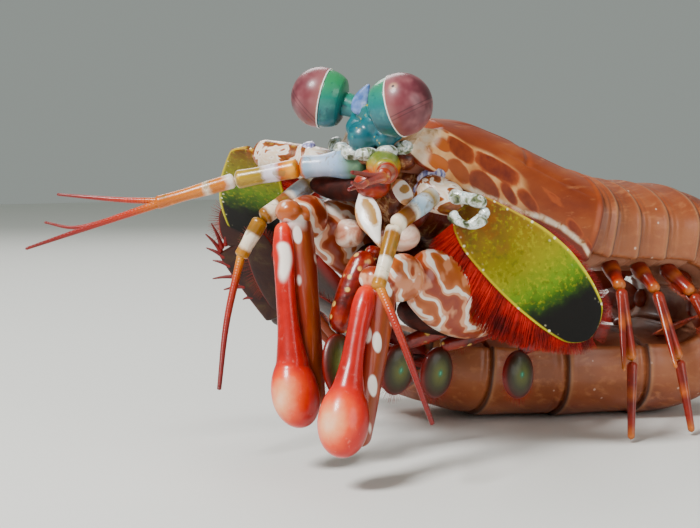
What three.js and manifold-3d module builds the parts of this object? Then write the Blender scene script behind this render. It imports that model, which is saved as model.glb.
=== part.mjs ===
// Peacock mantis shrimp, life size, folded over its own tail as it sits at the mouth of a burrow.
// Millimetres, +Z up. The face looks towards -Y and the animal's left is +X.
import * as THREE from 'three';
import { mergeVertices } from 'three/addons/utils/BufferGeometryUtils.js';
import Module from 'manifold-3d';

const wasm = await Module();
wasm.setup();

const vec = (x, y, z) => new THREE.Vector3(x, y, z);
const radians = THREE.MathUtils.degToRad;
const mix = THREE.MathUtils.lerp;
const sides = [{ name: 'left', sign: 1 }, { name: 'right', sign: -1 }];

// Clearance between touching pieces.
const gap = 0.3;

// The body line runs from the tip of the rostrum to the tip of the tail. At each length along it,
// down is how far it dips below level and left how far it swings to the animal's left, in degrees.
const snout = vec(2.6, 0.5, 45);
const lineStep = 0.25;
const bodyTurns = [
  { at: 0, down: 21, left: -3 },
  { at: 10, down: 21, left: 2 },
  { at: 25, down: 21, left: 11 },
  { at: 34, down: 19, left: 13 },
  { at: 46, down: 5, left: 15 },
  { at: 58.5, down: 5, left: 20 },
  { at: 65, down: 30, left: 25 },
  { at: 93, down: 180, left: 37 },
  { at: 118, down: 181, left: 41 },
  { at: 132, down: 196, left: 30 },
  { at: 140, down: 212, left: 20 },
  { at: 161, down: 240, left: 12 },
];

// Half width, height of the back and depth of the belly from the body line, at lengths along it.
const bodySizes = [
  { at: 0, wide: 7.2, top: 1.4, belly: 7.0 },
  { at: 6, wide: 8.6, top: 3.6, belly: 7.0 },
  { at: 12, wide: 9.6, top: 5.9, belly: 7.2 },
  { at: 20, wide: 10.9, top: 6.9, belly: 7.6 },
  { at: 37, wide: 12.5, top: 7.3, belly: 8.4 },
  { at: 45, wide: 11.9, top: 7.1, belly: 7.4 },
  { at: 60, wide: 12.6, top: 7.3, belly: 6.6 },
  { at: 80, wide: 13.2, top: 7.5, belly: 6.0 },
  { at: 110, wide: 13.2, top: 7.6, belly: 6.0 },
  { at: 124, wide: 12.6, top: 7.4, belly: 5.6 },
  { at: 136, wide: 11.2, top: 5.6, belly: 4.4 },
];

const carapace = { from: 2.6, to: 37 };
const somiteEnds = {
  thorax: [37.4, 41, 46.6, 52.8, 59.6],
  abdomen: [59.6, 72.2, 84.8, 97.4, 110, 122.4, 135],
};
const telsonEnds = [135.4, 160];

const colours = {
  shell: 0xb4642e,
  carapace: 0xc07038,
  belly: 0xd9b79c,
  face: 0xb9b79a,
  eyeBase: 0x2f8f9b,
  cornea: 0x7e4a55,
  antennule: 0xd08a1c,
  banded: 0xc99a5a,
  scale: 0x8f9a12,
  claw: 0xd8401c,
  club: 0xf0a284,
  arm: 0xdc9c78,
  leg: 0x9c2a18,
  tail: 0x5a4a2a,
  swimmeret: 0xa84a3a,
};

// Closed body through rings. A ring has a centre, a wide and a tall direction, half sizes along
// them, and how square it is above and below. extra makes every ring that much bigger all round.
function loft(rings, around, extra = 0) {
  const steps = rings.length - 1;
  const geometry = new THREE.CylinderGeometry(1, 1, steps, around, steps);
  const place = geometry.attributes.position;
  const ends = [0, steps].map((k) => {
    const inner = rings[k === 0 ? 1 : steps - 1].centre;
    return rings[k].centre.clone().sub(inner).normalize().multiplyScalar(extra);
  });
  const corner = vec(0, 0, 0);
  for (let i = 0; i < place.count; i += 1) {
    const k = Math.round(steps / 2 - place.getY(i));
    const ring = rings[k];
    const x = place.getX(i);
    const z = place.getZ(i);
    const power = z < 0 ? ring.squareBelow ?? 1 : ring.squareAbove ?? 1;
    const reach = z < 0 ? ring.below ?? ring.high : ring.high;
    const across = Math.sign(x) * Math.abs(x) ** power * (ring.wide + extra);
    const along = Math.sign(z) * Math.abs(z) ** power * (reach + extra);
    corner.copy(ring.centre).addScaledVector(ring.x, across).addScaledVector(ring.z, along);
    if (k === 0) corner.add(ends[0]);
    if (k === steps) corner.add(ends[1]);
    place.setXYZ(i, corner.x, corner.y, corner.z);
  }
  return toSolid(geometry);
}

// A three.js geometry as a solid whose faces point out.
function toSolid(geometry) {
  geometry.deleteAttribute('normal');
  geometry.deleteAttribute('uv');
  const merged = mergeVertices(geometry, 1e-4);
  const vertProperties = Float32Array.from(merged.attributes.position.array);
  const triVerts = Uint32Array.from(merged.index.array);
  const build = () => new wasm.Manifold(new wasm.Mesh({ numProp: 3, vertProperties, triVerts }));
  const solid = build();
  if (solid.volume() > 0) return solid;
  for (let i = 0; i < triVerts.length; i += 3) {
    [triVerts[i], triVerts[i + 1]] = [triVerts[i + 1], triVerts[i]];
  }
  return build();
}

// Value of a named size at a length, between the rows of a table.
function sizeAt(table, at, key) {
  let k = 1;
  while (k < table.length - 1 && table[k].at < at) k += 1;
  const [low, high] = [table[k - 1], table[k]];
  const share = THREE.MathUtils.clamp((at - low.at) / (high.at - low.at), 0, 1);
  return mix(low[key], high[key], share);
}

// Points of the body line with the directions back along it, out of the back, and to the left.
function traceBodyLine() {
  const marks = [];
  const at = snout.clone();
  const end = bodyTurns[bodyTurns.length - 1].at;
  for (let s = 0; s <= end; s += lineStep) {
    const down = radians(sizeAt(bodyTurns, s, 'down'));
    const left = radians(sizeAt(bodyTurns, s, 'left'));
    const level = vec(Math.sin(left), Math.cos(left), 0);
    const back = level.clone().multiplyScalar(Math.cos(down)).add(vec(0, 0, -Math.sin(down)));
    const up = level.clone().multiplyScalar(Math.sin(down)).add(vec(0, 0, Math.cos(down)));
    marks.push({ at: at.clone(), back, up, left: vec(Math.cos(left), -Math.sin(left), 0) });
    at.addScaledVector(back, lineStep);
  }
  return marks;
}
const bodyLine = traceBodyLine();

function bodySpot(s) {
  const last = bodyLine.length - 1;
  const k = THREE.MathUtils.clamp(s / lineStep, 0, last - 1e-6);
  const low = Math.floor(k);
  const spot = {};
  for (const key of ['at', 'back', 'up', 'left']) {
    spot[key] = bodyLine[low][key].clone().lerp(bodyLine[low + 1][key], k - low);
  }
  return spot;
}

// Point given from a spot of the body line, by how far left, up and back of it.
function bodyPoint(s, left, up, back = 0) {
  const spot = bodySpot(s);
  return spot.at.clone().addScaledVector(spot.left, left).addScaledVector(spot.up, up)
    .addScaledVector(spot.back, back);
}

function bodyRing(s, swell = 0) {
  const spot = bodySpot(s);
  return {
    centre: spot.at,
    x: spot.left,
    z: spot.up,
    wide: sizeAt(bodySizes, s, 'wide') + swell,
    high: sizeAt(bodySizes, s, 'top') + swell,
    below: sizeAt(bodySizes, s, 'belly'),
    squareAbove: 0.92,
    squareBelow: 0.62,
  };
}

// Limb piece from one joint to the next. wide and high are half sizes at even steps, across gives
// the wide direction, bow bends the middle, and the ends are rounded over the share round.
function limbPiece({ from, to, across, wide, high, around = 8, bow = vec(0, 0, 0), round = 0.08 }, extra) {
  const along = to.clone().sub(from);
  const axis = along.clone().normalize();
  const x = across.clone().addScaledVector(axis, -across.dot(axis)).normalize();
  const z = axis.clone().cross(x).normalize();
  const last = wide.length - 1;
  const middle = wide.slice(1, -1).map((_, k) => (k + 1) / last);
  const shares = round === 0 ? [0, ...middle, 1] : [0, round, ...middle, 1 - round, 1];
  const rings = shares.map((share) => {
    const k = Math.min(last - 1, Math.floor(share * last));
    const part = share * last - k;
    const end = round > 0 && (share === 0 || share === 1) ? 0.55 : 1;
    return {
      centre: from.clone().addScaledVector(along, share)
        .addScaledVector(bow, 4 * share * (1 - share)),
      x,
      z,
      wide: end * mix(wide[k], wide[k + 1], part),
      high: end * mix(high[k], high[k + 1], part),
    };
  });
  return loft(rings, around, extra);
}

// Feeler through a few points, tapering from one half thickness to another.
function whip(points, thick, thin, steps, around, extra) {
  const curve = new THREE.CatmullRomCurve3(points);
  const frames = curve.computeFrenetFrames(steps);
  const rings = [];
  for (let k = 0; k <= steps; k += 1) {
    const half = mix(thick, thin, k / steps);
    rings.push({
      centre: curve.getPointAt(k / steps),
      x: frames.normals[k],
      z: frames.binormals[k],
      wide: half,
      high: half,
    });
  }
  return loft(rings, around, extra);
}

// Straight spine with few faces.
function spine(root, tip, half, extra) {
  const axis = tip.clone().sub(root).normalize();
  const x = axis.clone().cross(Math.abs(axis.z) < 0.9 ? vec(0, 0, 1) : vec(1, 0, 0)).normalize();
  const z = axis.clone().cross(x);
  const ring = (share, size) => ({
    centre: root.clone().lerp(tip, share), x, z, wide: half * size, high: half * size,
  });
  return loft([ring(0, 1), ring(1, 0.35)], 4, extra);
}

// Flat blade from its root to its tip. halfWidth and halfThick are functions of the share of its
// length, across is the direction of its width, aside moves its middle that way, and cup arches it.
function blade({ from, to, across, halfWidth, halfThick, steps, around = 10, cup = 0, aside = even(0) }, extra) {
  const along = to.clone().sub(from);
  const axis = along.clone().normalize();
  const x = across.clone().addScaledVector(axis, -across.dot(axis)).normalize();
  const z = axis.clone().cross(x).normalize();
  const rings = [];
  for (let k = 0; k <= steps; k += 1) {
    const share = k / steps;
    rings.push({
      centre: from.clone().addScaledVector(along, share).addScaledVector(x, aside(share))
        .addScaledVector(z, cup * Math.sin(Math.PI * share)),
      x,
      z,
      wide: halfWidth(share),
      high: halfThick(share),
      squareAbove: 0.8,
      squareBelow: 0.8,
    });
  }
  return loft(rings, around, extra);
}

// Half width of a leaf-shaped blade, widest at the share peak.
const leaf = (most, root, peak, blunt = 2.4) => (share) => {
  if (share < peak) return mix(root, most, Math.sin((Math.PI / 2) * (share / peak)));
  const past = (share - peak) / (1 - peak);
  return Math.max(0.35, most * Math.sqrt(Math.max(0, 1 - past ** blunt)));
};
const even = (half) => () => half;

const parts = [];
const addPart = (name, colour, pieces) => parts.push({ name, colour, pieces });

// Shell over the head and the first thoracic somites.
function addCarapace() {
  const stops = [0, 0.1, 0.26, 0.5, 0.78, 1];
  addPart('carapace', colours.carapace, (extra) => [
    loft(stops.map((share) => bodyRing(mix(carapace.from, carapace.to, share))), 20, extra),
  ]);
}

// Rings of the body behind the carapace, each with a slight flare at its rear edge.
function addSomite(name, start, end) {
  const flare = 0.35;
  const joint = gap / 2 + 0.05;
  addPart(name, colours.shell, (extra) => {
    const front = start + joint;
    const rear = end - joint;
    const stops = end - start > 8 ? [0, 0.35, 0.7, 1] : [0, 1];
    return [loft(stops.map((share) => bodyRing(mix(front, rear, share), flare * share)), 18, extra)];
  });
}

const rostralPlate = { length: 5.2, half: 2.7, thick: 0.55, above: 1.9 };
function addRostralPlate() {
  addPart('rostral_plate', colours.carapace, (extra) => [
    blade({
      from: bodyPoint(3.4, 0, rostralPlate.above),
      to: bodyPoint(3.4, 0, rostralPlate.above + 0.6, -rostralPlate.length),
      across: bodySpot(2).left,
      halfWidth: (share) => mix(rostralPlate.half, 0.6, share ** 1.6),
      halfThick: even(rostralPlate.thick),
      steps: 4,
      around: 8,
    }, extra),
  ]);
}

const eye = { radius: 3.95, border: -0.7, neck: 1.5, cup: 4.3 };
const eyeSpots = {
  left: { centre: vec(10.0, -4.7, 47.3), axis: vec(0.93, 0.25, 0.23).normalize() },
  right: { centre: vec(-3.9, -4.7, 48.7), axis: vec(-0.85, -0.47, 0.22).normalize() },
};
const eyeBase = { foot: vec(4.0, -2.4, 41.8), top: vec(2.9, -2.0, 48.2), wide: 2.4, deep: 2.0 };

function addEyeBase() {
  addPart('eye_base', colours.eyeBase, (extra) => [
    limbPiece({
      from: eyeBase.foot, to: eyeBase.top, across: vec(1, 0, 0),
      wide: [2.9, eyeBase.wide, 2.2], high: [1.7, eyeBase.deep, 1.5], around: 10,
    }, extra),
  ]);
}

// Ball of the eye split square to its axis into the cup of the stalk and the cornea.
function addEye(side) {
  const { centre, axis } = eyeSpots[side.name];
  const x = axis.clone().cross(vec(0, 0, 1)).normalize();
  const z = x.clone().cross(axis).normalize();
  const ring = (along, half) => ({
    centre: centre.clone().addScaledVector(axis, along), x, z, wide: half, high: half * 1.03,
  });
  const ball = (along) => Math.sqrt(Math.max(0.04, eye.radius ** 2 - along ** 2));
  const outer = [0, 0.3, 0.6, 0.85, 0.97, 1].map((share) => mix(eye.border, eye.radius, share));
  addPart(`cornea_${side.name}`, colours.cornea, (extra) => [
    loft(outer.map((along) => ring(along, ball(along))), 14, extra),
  ]);
  addPart(`eyestalk_${side.name}`, colours.eyeBase, (extra) => {
    const rim = eye.border - gap;
    const cup = loft([
      ring(rim, ball(rim) * 0.98), ring(-2.3, 3.35), ring(-3.4, 2.75), ring(-eye.cup, 2.2),
    ], 14, extra);
    const root = eyeBase.foot.clone().lerp(eyeBase.top, 0.72);
    const neck = limbPiece({
      from: centre.clone().addScaledVector(axis, -3.2), to: root, across: vec(0, 0, 1),
      wide: [1.9, eye.neck], high: [1.9, eye.neck],
    }, extra);
    return [cup, neck];
  });
}

const head = {
  face: vec(3.1, -1.2, 38.4), nape: vec(3.6, 17.5, 29.8), wide: [4.2, 6.0, 6.4, 6.2], high: [3.2, 5.2, 5.6, 5.0],
};
function addHead() {
  addPart('head', colours.face, (extra) => [
    limbPiece({
      from: head.face, to: head.nape, across: vec(1, 0, 0), wide: head.wide, high: head.high, around: 14,
    }, extra),
    limbPiece({
      from: vec(3.1, 5.5, 31), to: vec(3.0, 1.0, 26.4), across: vec(1, 0, 0),
      wide: [2.2, 2.4, 1.6], high: [2.4, 2.2, 1.2],
    }, extra),
  ]);
}

const breast = { front: vec(3.6, 16.5, 27.6), rear: vec(7.4, 38.5, 24.2), wide: [6.2, 7.0, 6.8], high: [4.4, 4.8, 4.4] };
function addBreast() {
  addPart('breast', colours.belly, (extra) => [
    limbPiece({
      from: breast.front, to: breast.rear, across: vec(1, 0, 0), wide: breast.wide, high: breast.high, around: 14,
    }, extra),
  ]);
}

// First antennae: three stout joints, then a pair of whips of which one forks again.
const antennules = {
  right: {
    joints: [vec(2.4, -1.6, 40.2), vec(-6.7, -5.7, 39.3), vec(-14.8, -10, 37.6), vec(-23.1, -17.2, 34.4)],
    upperWhip: [vec(-22.4, -16.6, 34.7), vec(-27.5, -20.0, 34.9), vec(-35.1, -24.6, 35.6)],
    lowerWhip: [vec(-22.4, -16.6, 34.5), vec(-25.7, -22.2, 32.4), vec(-31.5, -32.7, 28.5)],
    forkWhip: [vec(-25.2, -21.3, 32.7), vec(-29.6, -25.6, 31.2), vec(-33, -28.4, 31.9)],
  },
  left: {
    joints: [vec(4.6, -1.8, 39.6), vec(10.9, -9.3, 38.7), vec(16.7, -16.2, 38.6), vec(21.4, -22.8, 38.3)],
    upperWhip: [vec(21, -22.3, 38.3), vec(24.8, -29.1, 38.3), vec(28.3, -36.6, 38.7)],
    lowerWhip: [vec(21, -22.3, 38.1), vec(25, -29, 37.9), vec(30.1, -39.2, 37)],
    forkWhip: [vec(26.9, -32.6, 37.6), vec(29, -36.1, 37.3), vec(30.9, -39.7, 37.7)],
  },
};
const antennuleHalf = [[2.3, 1.5], [1.35, 1.2], [1.05, 0.85]];
function addAntennule(side) {
  const shape = antennules[side.name];
  addPart(`antennule_${side.name}`, colours.antennule, (extra) => [
    ...antennuleHalf.map(([thick, thin], k) => limbPiece({
      from: shape.joints[k], to: shape.joints[k + 1], across: vec(0, 0, 1),
      wide: [thick, thin], high: [thick, thin], round: 0.06,
    }, extra)),
    whip(shape.upperWhip, 0.5, 0.28, 4, 6, extra),
    whip(shape.lowerWhip, 0.6, 0.28, 5, 6, extra),
    whip(shape.forkWhip, 0.4, 0.26, 3, 6, extra),
  ]);
}

// Second antennae: a stub on the side of the head that carries the jointed feeler and the scale.
const antennae = {
  left: {
    root: vec(7.6, 1.4, 36.6), stub: vec(14.4, 2.8, 34.6),
    joints: [vec(12.2, -0.6, 35.8), vec(12.1, -8.8, 32), vec(13.3, -13.8, 24.3)],
    whip: [vec(13.2, -13.4, 25), vec(17.1, -13.8, 18.5), vec(20.4, -11.9, 8.2)],
  },
  right: {
    root: vec(-2.2, 0.6, 38.6), stub: vec(-18.2, -2.8, 41.6),
    joints: [vec(-7.6, -1.6, 37.6), vec(-10.4, -9.4, 32.4), vec(-12.4, -11.6, 27.1)],
    whip: [vec(-12.3, -11.4, 27.6), vec(-12.4, -14.2, 18.6), vec(-11, -17.1, 9.8)],
  },
};
function addAntenna(side) {
  const shape = antennae[side.name];
  addPart(`antenna_${side.name}`, colours.banded, (extra) => [
    limbPiece({
      from: shape.root, to: shape.stub, across: vec(0, 0, 1),
      wide: [2.4, 2.3, 1.7], high: [2.2, 2.1, 1.4],
    }, extra),
    limbPiece({
      from: shape.joints[0], to: shape.joints[1], across: vec(0, 0, 1), wide: [1.4, 1.3, 1.1], high: [1.3, 1.2, 1.1],
    }, extra),
    limbPiece({
      from: shape.joints[1], to: shape.joints[2], across: vec(0, 0, 1), wide: [1.15, 1.1, 0.95], high: [1.15, 1.1, 0.95],
    }, extra),
    whip(shape.whip, 0.62, 0.3, 7, 6, extra),
  ]);
}

// Leaf-shaped scale of the second antenna with its fringe of stiff bristles. The lower edge is
// nearly straight and the upper one rounder, each given by its distance from the middle line.
const scale = { thick: 0.5, cup: -0.8, fringe: 5.2, tufts: [10, 8] };
const scaleEdges = [
  { at: 0, lower: 2.5, upper: 2.3 },
  { at: 0.15, lower: 4.2, upper: 3.8 },
  { at: 0.4, lower: 4.6, upper: 5.8 },
  { at: 0.6, lower: 4.5, upper: 6.3 },
  { at: 0.8, lower: 3.9, upper: 5.5 },
  { at: 0.93, lower: 2.7, upper: 3.9 },
  { at: 1, lower: 0.9, upper: 1.2 },
];
const scaleSpots = {
  left: { root: vec(14.1, 3.1, 34.5), tip: vec(24.8, 18.3, 16.3), face: vec(0.64, -0.76, 0.07) },
  right: { root: vec(-18.7, -3.7, 41.8), tip: vec(-28.8, 9.8, 25.9), face: vec(0.42, -0.86, 0.0) },
};
function addScale(side) {
  const spot = scaleSpots[side.name];
  const axis = spot.tip.clone().sub(spot.root);
  const long = axis.length();
  axis.normalize();
  const across = axis.clone().cross(spot.face).normalize().multiplyScalar(-1);
  const under = axis.clone().cross(across);
  const reachOf = (share, hand) => sizeAt(scaleEdges, share, hand < 0 ? 'lower' : 'upper');
  const edge = (share, hand, reach) => spot.root.clone().addScaledVector(axis, share * long)
    .addScaledVector(under, scale.cup * Math.sin(Math.PI * share))
    .addScaledVector(across, hand * side.sign * (reachOf(share, hand) + reach));
  addPart(`antennal_scale_${side.name}`, colours.scale, (extra) => {
    const tufts = [];
    for (const hand of [-1, 1]) {
      const count = scale.tufts[hand < 0 ? 0 : 1];
      for (let k = 0; k < count; k += 1) {
        const share = 0.2 + (0.76 * k) / (count - 1);
        const lean = mix(0.05, 0.16, share);
        const reach = scale.fringe * (hand < 0 ? 1 : 0.45) * (0.9 + 0.1 * Math.sin(7 * k));
        tufts.push(blade({
          from: edge(share, hand, -0.9),
          to: edge(share, hand, reach).addScaledVector(axis, lean * long * (hand < 0 ? 1 : 0.6))
            .addScaledVector(under, 0.9),
          across: axis,
          halfWidth: (part) => mix(0.7, 0.16, part),
          halfThick: (part) => mix(0.3, 0.12, part),
          steps: 1,
          around: 4,
        }, extra));
      }
    }
    return [blade({
      from: spot.root,
      to: spot.tip,
      across,
      halfWidth: (share) => (reachOf(share, 1) + reachOf(share, -1)) / 2,
      aside: (share) => (side.sign * (reachOf(share, 1) - reachOf(share, -1))) / 2,
      halfThick: even(scale.thick),
      steps: 10,
      around: 8,
      cup: scale.cup,
    }, extra), ...tufts];
  });
}

// Second maxillipeds: the striking claws, hanging half folded in front of the mouth.
const claws = {
  left: { root: vec(7.6, 23.4, 22.6), hip: vec(9.8, 20.6, 21), knee: vec(10.4, -3.2, 25.4), wrist: vec(10.2, -9.2, 24.6), heel: vec(11.9, -15.6, 6.4) },
  right: { root: vec(-0.6, 23.2, 25.0), hip: vec(-3.6, 20.8, 25.6), knee: vec(-6.2, -3.6, 32.4), wrist: vec(-4.6, -9.0, 32.8), heel: vec(0.4, -11.0, 8.8) },
};
const clawSizes = {
  merus: { wide: [2.4, 3.2, 3.2, 2.5], high: [3.2, 4.7, 4.6, 3.2] },
  carpus: { wide: [2.3, 2.7, 2.2], high: [2.5, 3.0, 2.4] },
  propodus: { wide: [1.7, 1.9, 1.8, 1.5], high: [2.7, 2.6, 2.1, 1.9] },
  dactyl: { wide: [1.5, 1.3, 1.0, 0.5], high: [1.6, 1.2, 1.0, 0.5] },
  club: { half: 3.1, deep: 3.2, long: 4.9 },
};
function addClaw(side) {
  const shape = claws[side.name];
  const across = vec(1, 0, 0);
  const shaft = shape.heel.clone().sub(shape.wrist).normalize();
  const front = across.clone().cross(shaft).normalize();
  if (front.y > 0) front.negate();
  const clubCentre = shape.heel.clone().addScaledVector(front, 3.4).addScaledVector(shaft, -1.6);
  addPart(`claw_merus_${side.name}`, colours.arm, (extra) => [
    limbPiece({ from: shape.hip, to: shape.knee, across, ...clawSizes.merus, around: 12 }, extra),
    limbPiece({ from: shape.root, to: shape.hip, across, wide: [2.2, 2.4], high: [2.6, 3.0] }, extra),
  ]);
  addPart(`claw_carpus_${side.name}`, colours.arm, (extra) => [
    limbPiece({
      from: shape.knee.clone().lerp(shape.wrist, -0.25), to: shape.wrist.clone().lerp(shape.knee, -0.12),
      across, ...clawSizes.carpus, around: 10, round: 0.15,
    }, extra),
  ]);
  addPart(`claw_propodus_${side.name}`, colours.claw, (extra) => [
    limbPiece({
      from: shape.wrist.clone().addScaledVector(shaft, -1.2), to: shape.heel.clone().addScaledVector(shaft, 1.4),
      across, ...clawSizes.propodus, around: 10, round: 0.05,
    }, extra),
  ]);
  addPart(`claw_dactyl_${side.name}`, colours.club, (extra) => {
    const { half, deep, long } = clawSizes.club;
    const stops = [-1, -0.88, -0.5, 0, 0.5, 0.88, 1];
    const club = loft(stops.map((share) => {
      const round = Math.max(0.12, Math.sqrt(Math.max(0, 1 - share ** 2)));
      return {
        centre: clubCentre.clone().addScaledVector(shaft, share * long),
        x: across,
        z: front,
        wide: half * round,
        high: deep * round,
      };
    }), 10, extra);
    const tip = shape.wrist.clone().addScaledVector(front, 3.2).addScaledVector(shaft, 2.2);
    const finger = limbPiece({
      from: clubCentre, to: tip, across, ...clawSizes.dactyl, around: 8, bow: front.clone().multiplyScalar(0.5),
    }, extra);
    const hinge = limbPiece({
      from: clubCentre, to: shape.heel.clone().addScaledVector(shaft, 1.0), across, wide: [2.0, 1.6], high: [2.2, 1.8],
    }, extra);
    return [club, finger, hinge];
  });
}

// First maxillipeds: thin cleaning legs close to the mouth.
function addCleaningLeg(side) {
  const x = side.sign;
  addPart(`maxilliped_1_${side.name}`, colours.arm, (extra) => [
    limbPiece({
      from: vec(3.4 + 3.2 * x, 13.5, 26.2), to: vec(3.2 + 3.6 * x, 4.6, 21.4), across: vec(1, 0, 0),
      wide: [0.9, 0.8], high: [1.1, 0.9], around: 6, round: 0,
    }, extra),
    limbPiece({
      from: vec(3.2 + 3.6 * x, 5.2, 21.8), to: vec(3.4 + 2.0 * x, -2.4, 25.4), across: vec(1, 0, 0),
      wide: [0.8, 0.6], high: [0.9, 0.7], around: 6, round: 0,
    }, extra),
  ]);
}

// Third to fifth maxillipeds: each a thin two-jointed arm that ends in an oval hand.
const hands = [
  { number: 3, left: { root: vec(8.6, 22.5, 23.4), knee: vec(6.6, 12.2, 17.2), wrist: vec(3.0, 4.6, 15.0), tip: vec(2.4, 3.0, 8.0) },
    right: { root: vec(2.2, 20, 24.4), knee: vec(3.4, -3.6, 28.2), wrist: vec(2.0, -8.2, 17.6), tip: vec(4.2, -9.4, 9.2) } },
  { number: 4, left: { root: vec(9.6, 28.5, 22.8), knee: vec(9.4, 18.6, 16.4), wrist: vec(5.2, 10.4, 14.2), tip: vec(4.8, 9.2, 7.0) },
    right: { root: vec(3.0, 27, 23), knee: vec(-1.8, 16.8, 20.8), wrist: vec(-2.8, 9.6, 21.4), tip: vec(-3.6, 4.6, 17.8) } },
  { number: 5, left: { root: vec(10.8, 34, 21.8), knee: vec(14.4, 25.4, 15.4), wrist: vec(12.4, 19.6, 13.4), tip: vec(12.8, 18.4, 6.6) },
    right: { root: vec(4.0, 33, 22), knee: vec(1.2, 25, 19.8), wrist: vec(3.2, 18.4, 18.6), tip: vec(4.4, 15.0, 13.6) } },
];
function addHand(row, side) {
  const shape = row[side.name];
  const across = vec(0.35, 1, 0);
  addPart(`maxilliped_${row.number}_${side.name}`, colours.arm, (extra) => [
    limbPiece({
      from: shape.root, to: shape.knee, across, wide: [0.9, 0.8], high: [0.9, 0.8], around: 6, round: 0,
    }, extra),
    limbPiece({
      from: shape.knee, to: shape.wrist, across, wide: [0.9, 0.9], high: [0.8, 0.8], around: 6, round: 0,
    }, extra),
    limbPiece({
      from: shape.wrist, to: shape.tip, across, wide: [1.5, 2.6, 1.6], high: [0.8, 1.0, 0.7], around: 8,
    }, extra),
  ]);
}

// Walking legs: each forks at the knee into a stouter leg on the floor and a thinner free branch.
const legs = [
  { number: 1, at: 44, left: { knee: 13.2, reach: 19, ahead: -7 }, right: { knee: 21, reach: 27, ahead: -3 } },
  { number: 2, at: 50, left: { knee: 13.2, reach: 20.5, ahead: -1 }, right: { knee: 18, reach: 26, ahead: 1 } },
  { number: 3, at: 56.2, left: { knee: 13.2, reach: 20.5, ahead: 6 }, right: { knee: 16, reach: 24, ahead: 6 } },
];
const legSizes = { rootOut: 8.0, rootDown: 5.4, kneeDrop: 9.4, footSink: 0.5 };
function addLeg(row, side) {
  const { knee: kneeOut, reach, ahead } = row[side.name];
  const root = bodyPoint(row.at, side.sign * legSizes.rootOut, -legSizes.rootDown);
  const knee = bodyPoint(row.at, side.sign * kneeOut, -legSizes.kneeDrop, ahead * 0.3);
  const foot = bodyPoint(row.at, side.sign * reach, 0, ahead);
  foot.z = -legSizes.footSink;
  const shin = knee.clone().lerp(foot, 0.46).addScaledVector(bodySpot(row.at).left, side.sign * 1.3);
  const free = knee.clone().lerp(foot, 0.62).add(vec(side.sign * 1.4, -3.6, 2.6));
  const across = vec(0, 1, 0);
  addPart(`walking_leg_${row.number}_${side.name}`, colours.leg, (extra) => [
    limbPiece({ from: root, to: knee, across, wide: [1.5, 1.1], high: [1.4, 1.0], around: 6 }, extra),
    limbPiece({ from: knee, to: shin, across, wide: [1.0, 0.8], high: [0.9, 0.8], around: 6, round: 0 }, extra),
    limbPiece({ from: shin, to: foot, across, wide: [0.8, 0.55], high: [0.8, 0.55], around: 6, round: 0.04 }, extra),
    limbPiece({ from: knee, to: free, across, wide: [0.7, 0.4], high: [0.6, 0.35], around: 4, round: 0 }, extra),
  ]);
}

// Swimmerets: a short stalk and two flat lobes under each of the first five abdominal somites.
const swimmeret = { out: 6.4, down: 5.2, stalk: 2.6, long: 6.6, half: 2.3, thick: 0.45 };
const swimmeretAim = [
  { out: 0.62, down: 0.5, back: -0.2 },
  { out: 0.8, down: 0.3, back: 0.0 },
  { out: 0.8, down: 0.3, back: 0.0 },
  { out: 0.5, down: 0.38, back: 0.6 },
  { out: 0.3, down: 0.3, back: 0.85 },
];
function addSwimmeret(index, side) {
  const [start, end] = somiteEnds.abdomen.slice(index, index + 2);
  const s = mix(start, end, 0.5);
  const aim = swimmeretAim[index];
  const spot = bodySpot(s);
  const direction = spot.left.clone().multiplyScalar(side.sign * aim.out)
    .addScaledVector(spot.up, -aim.down).addScaledVector(spot.back, aim.back).normalize();
  const root = bodyPoint(s, side.sign * swimmeret.out, -swimmeret.down);
  const elbow = root.clone().addScaledVector(direction, swimmeret.stalk);
  const across = spot.back.clone().addScaledVector(spot.left, 0.3 * side.sign);
  addPart(`swimmeret_${index + 1}_${side.name}`, colours.swimmeret, (extra) => [
    limbPiece({ from: root, to: elbow, across, wide: [1.6, 1.7], high: [0.9, 0.8], around: 6, round: 0 }, extra),
    ...[-0.34, 0.34].map((lean) => blade({
      from: elbow.clone().addScaledVector(direction, -0.8),
      to: elbow.clone().addScaledVector(direction, swimmeret.long).addScaledVector(across, lean * 5),
      across,
      halfWidth: leaf(swimmeret.half * (lean > 0 ? 1 : 0.8), 0.9, 0.5),
      halfThick: even(swimmeret.thick),
      steps: 3,
      around: 6,
    }, extra)),
  ]);
}

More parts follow.
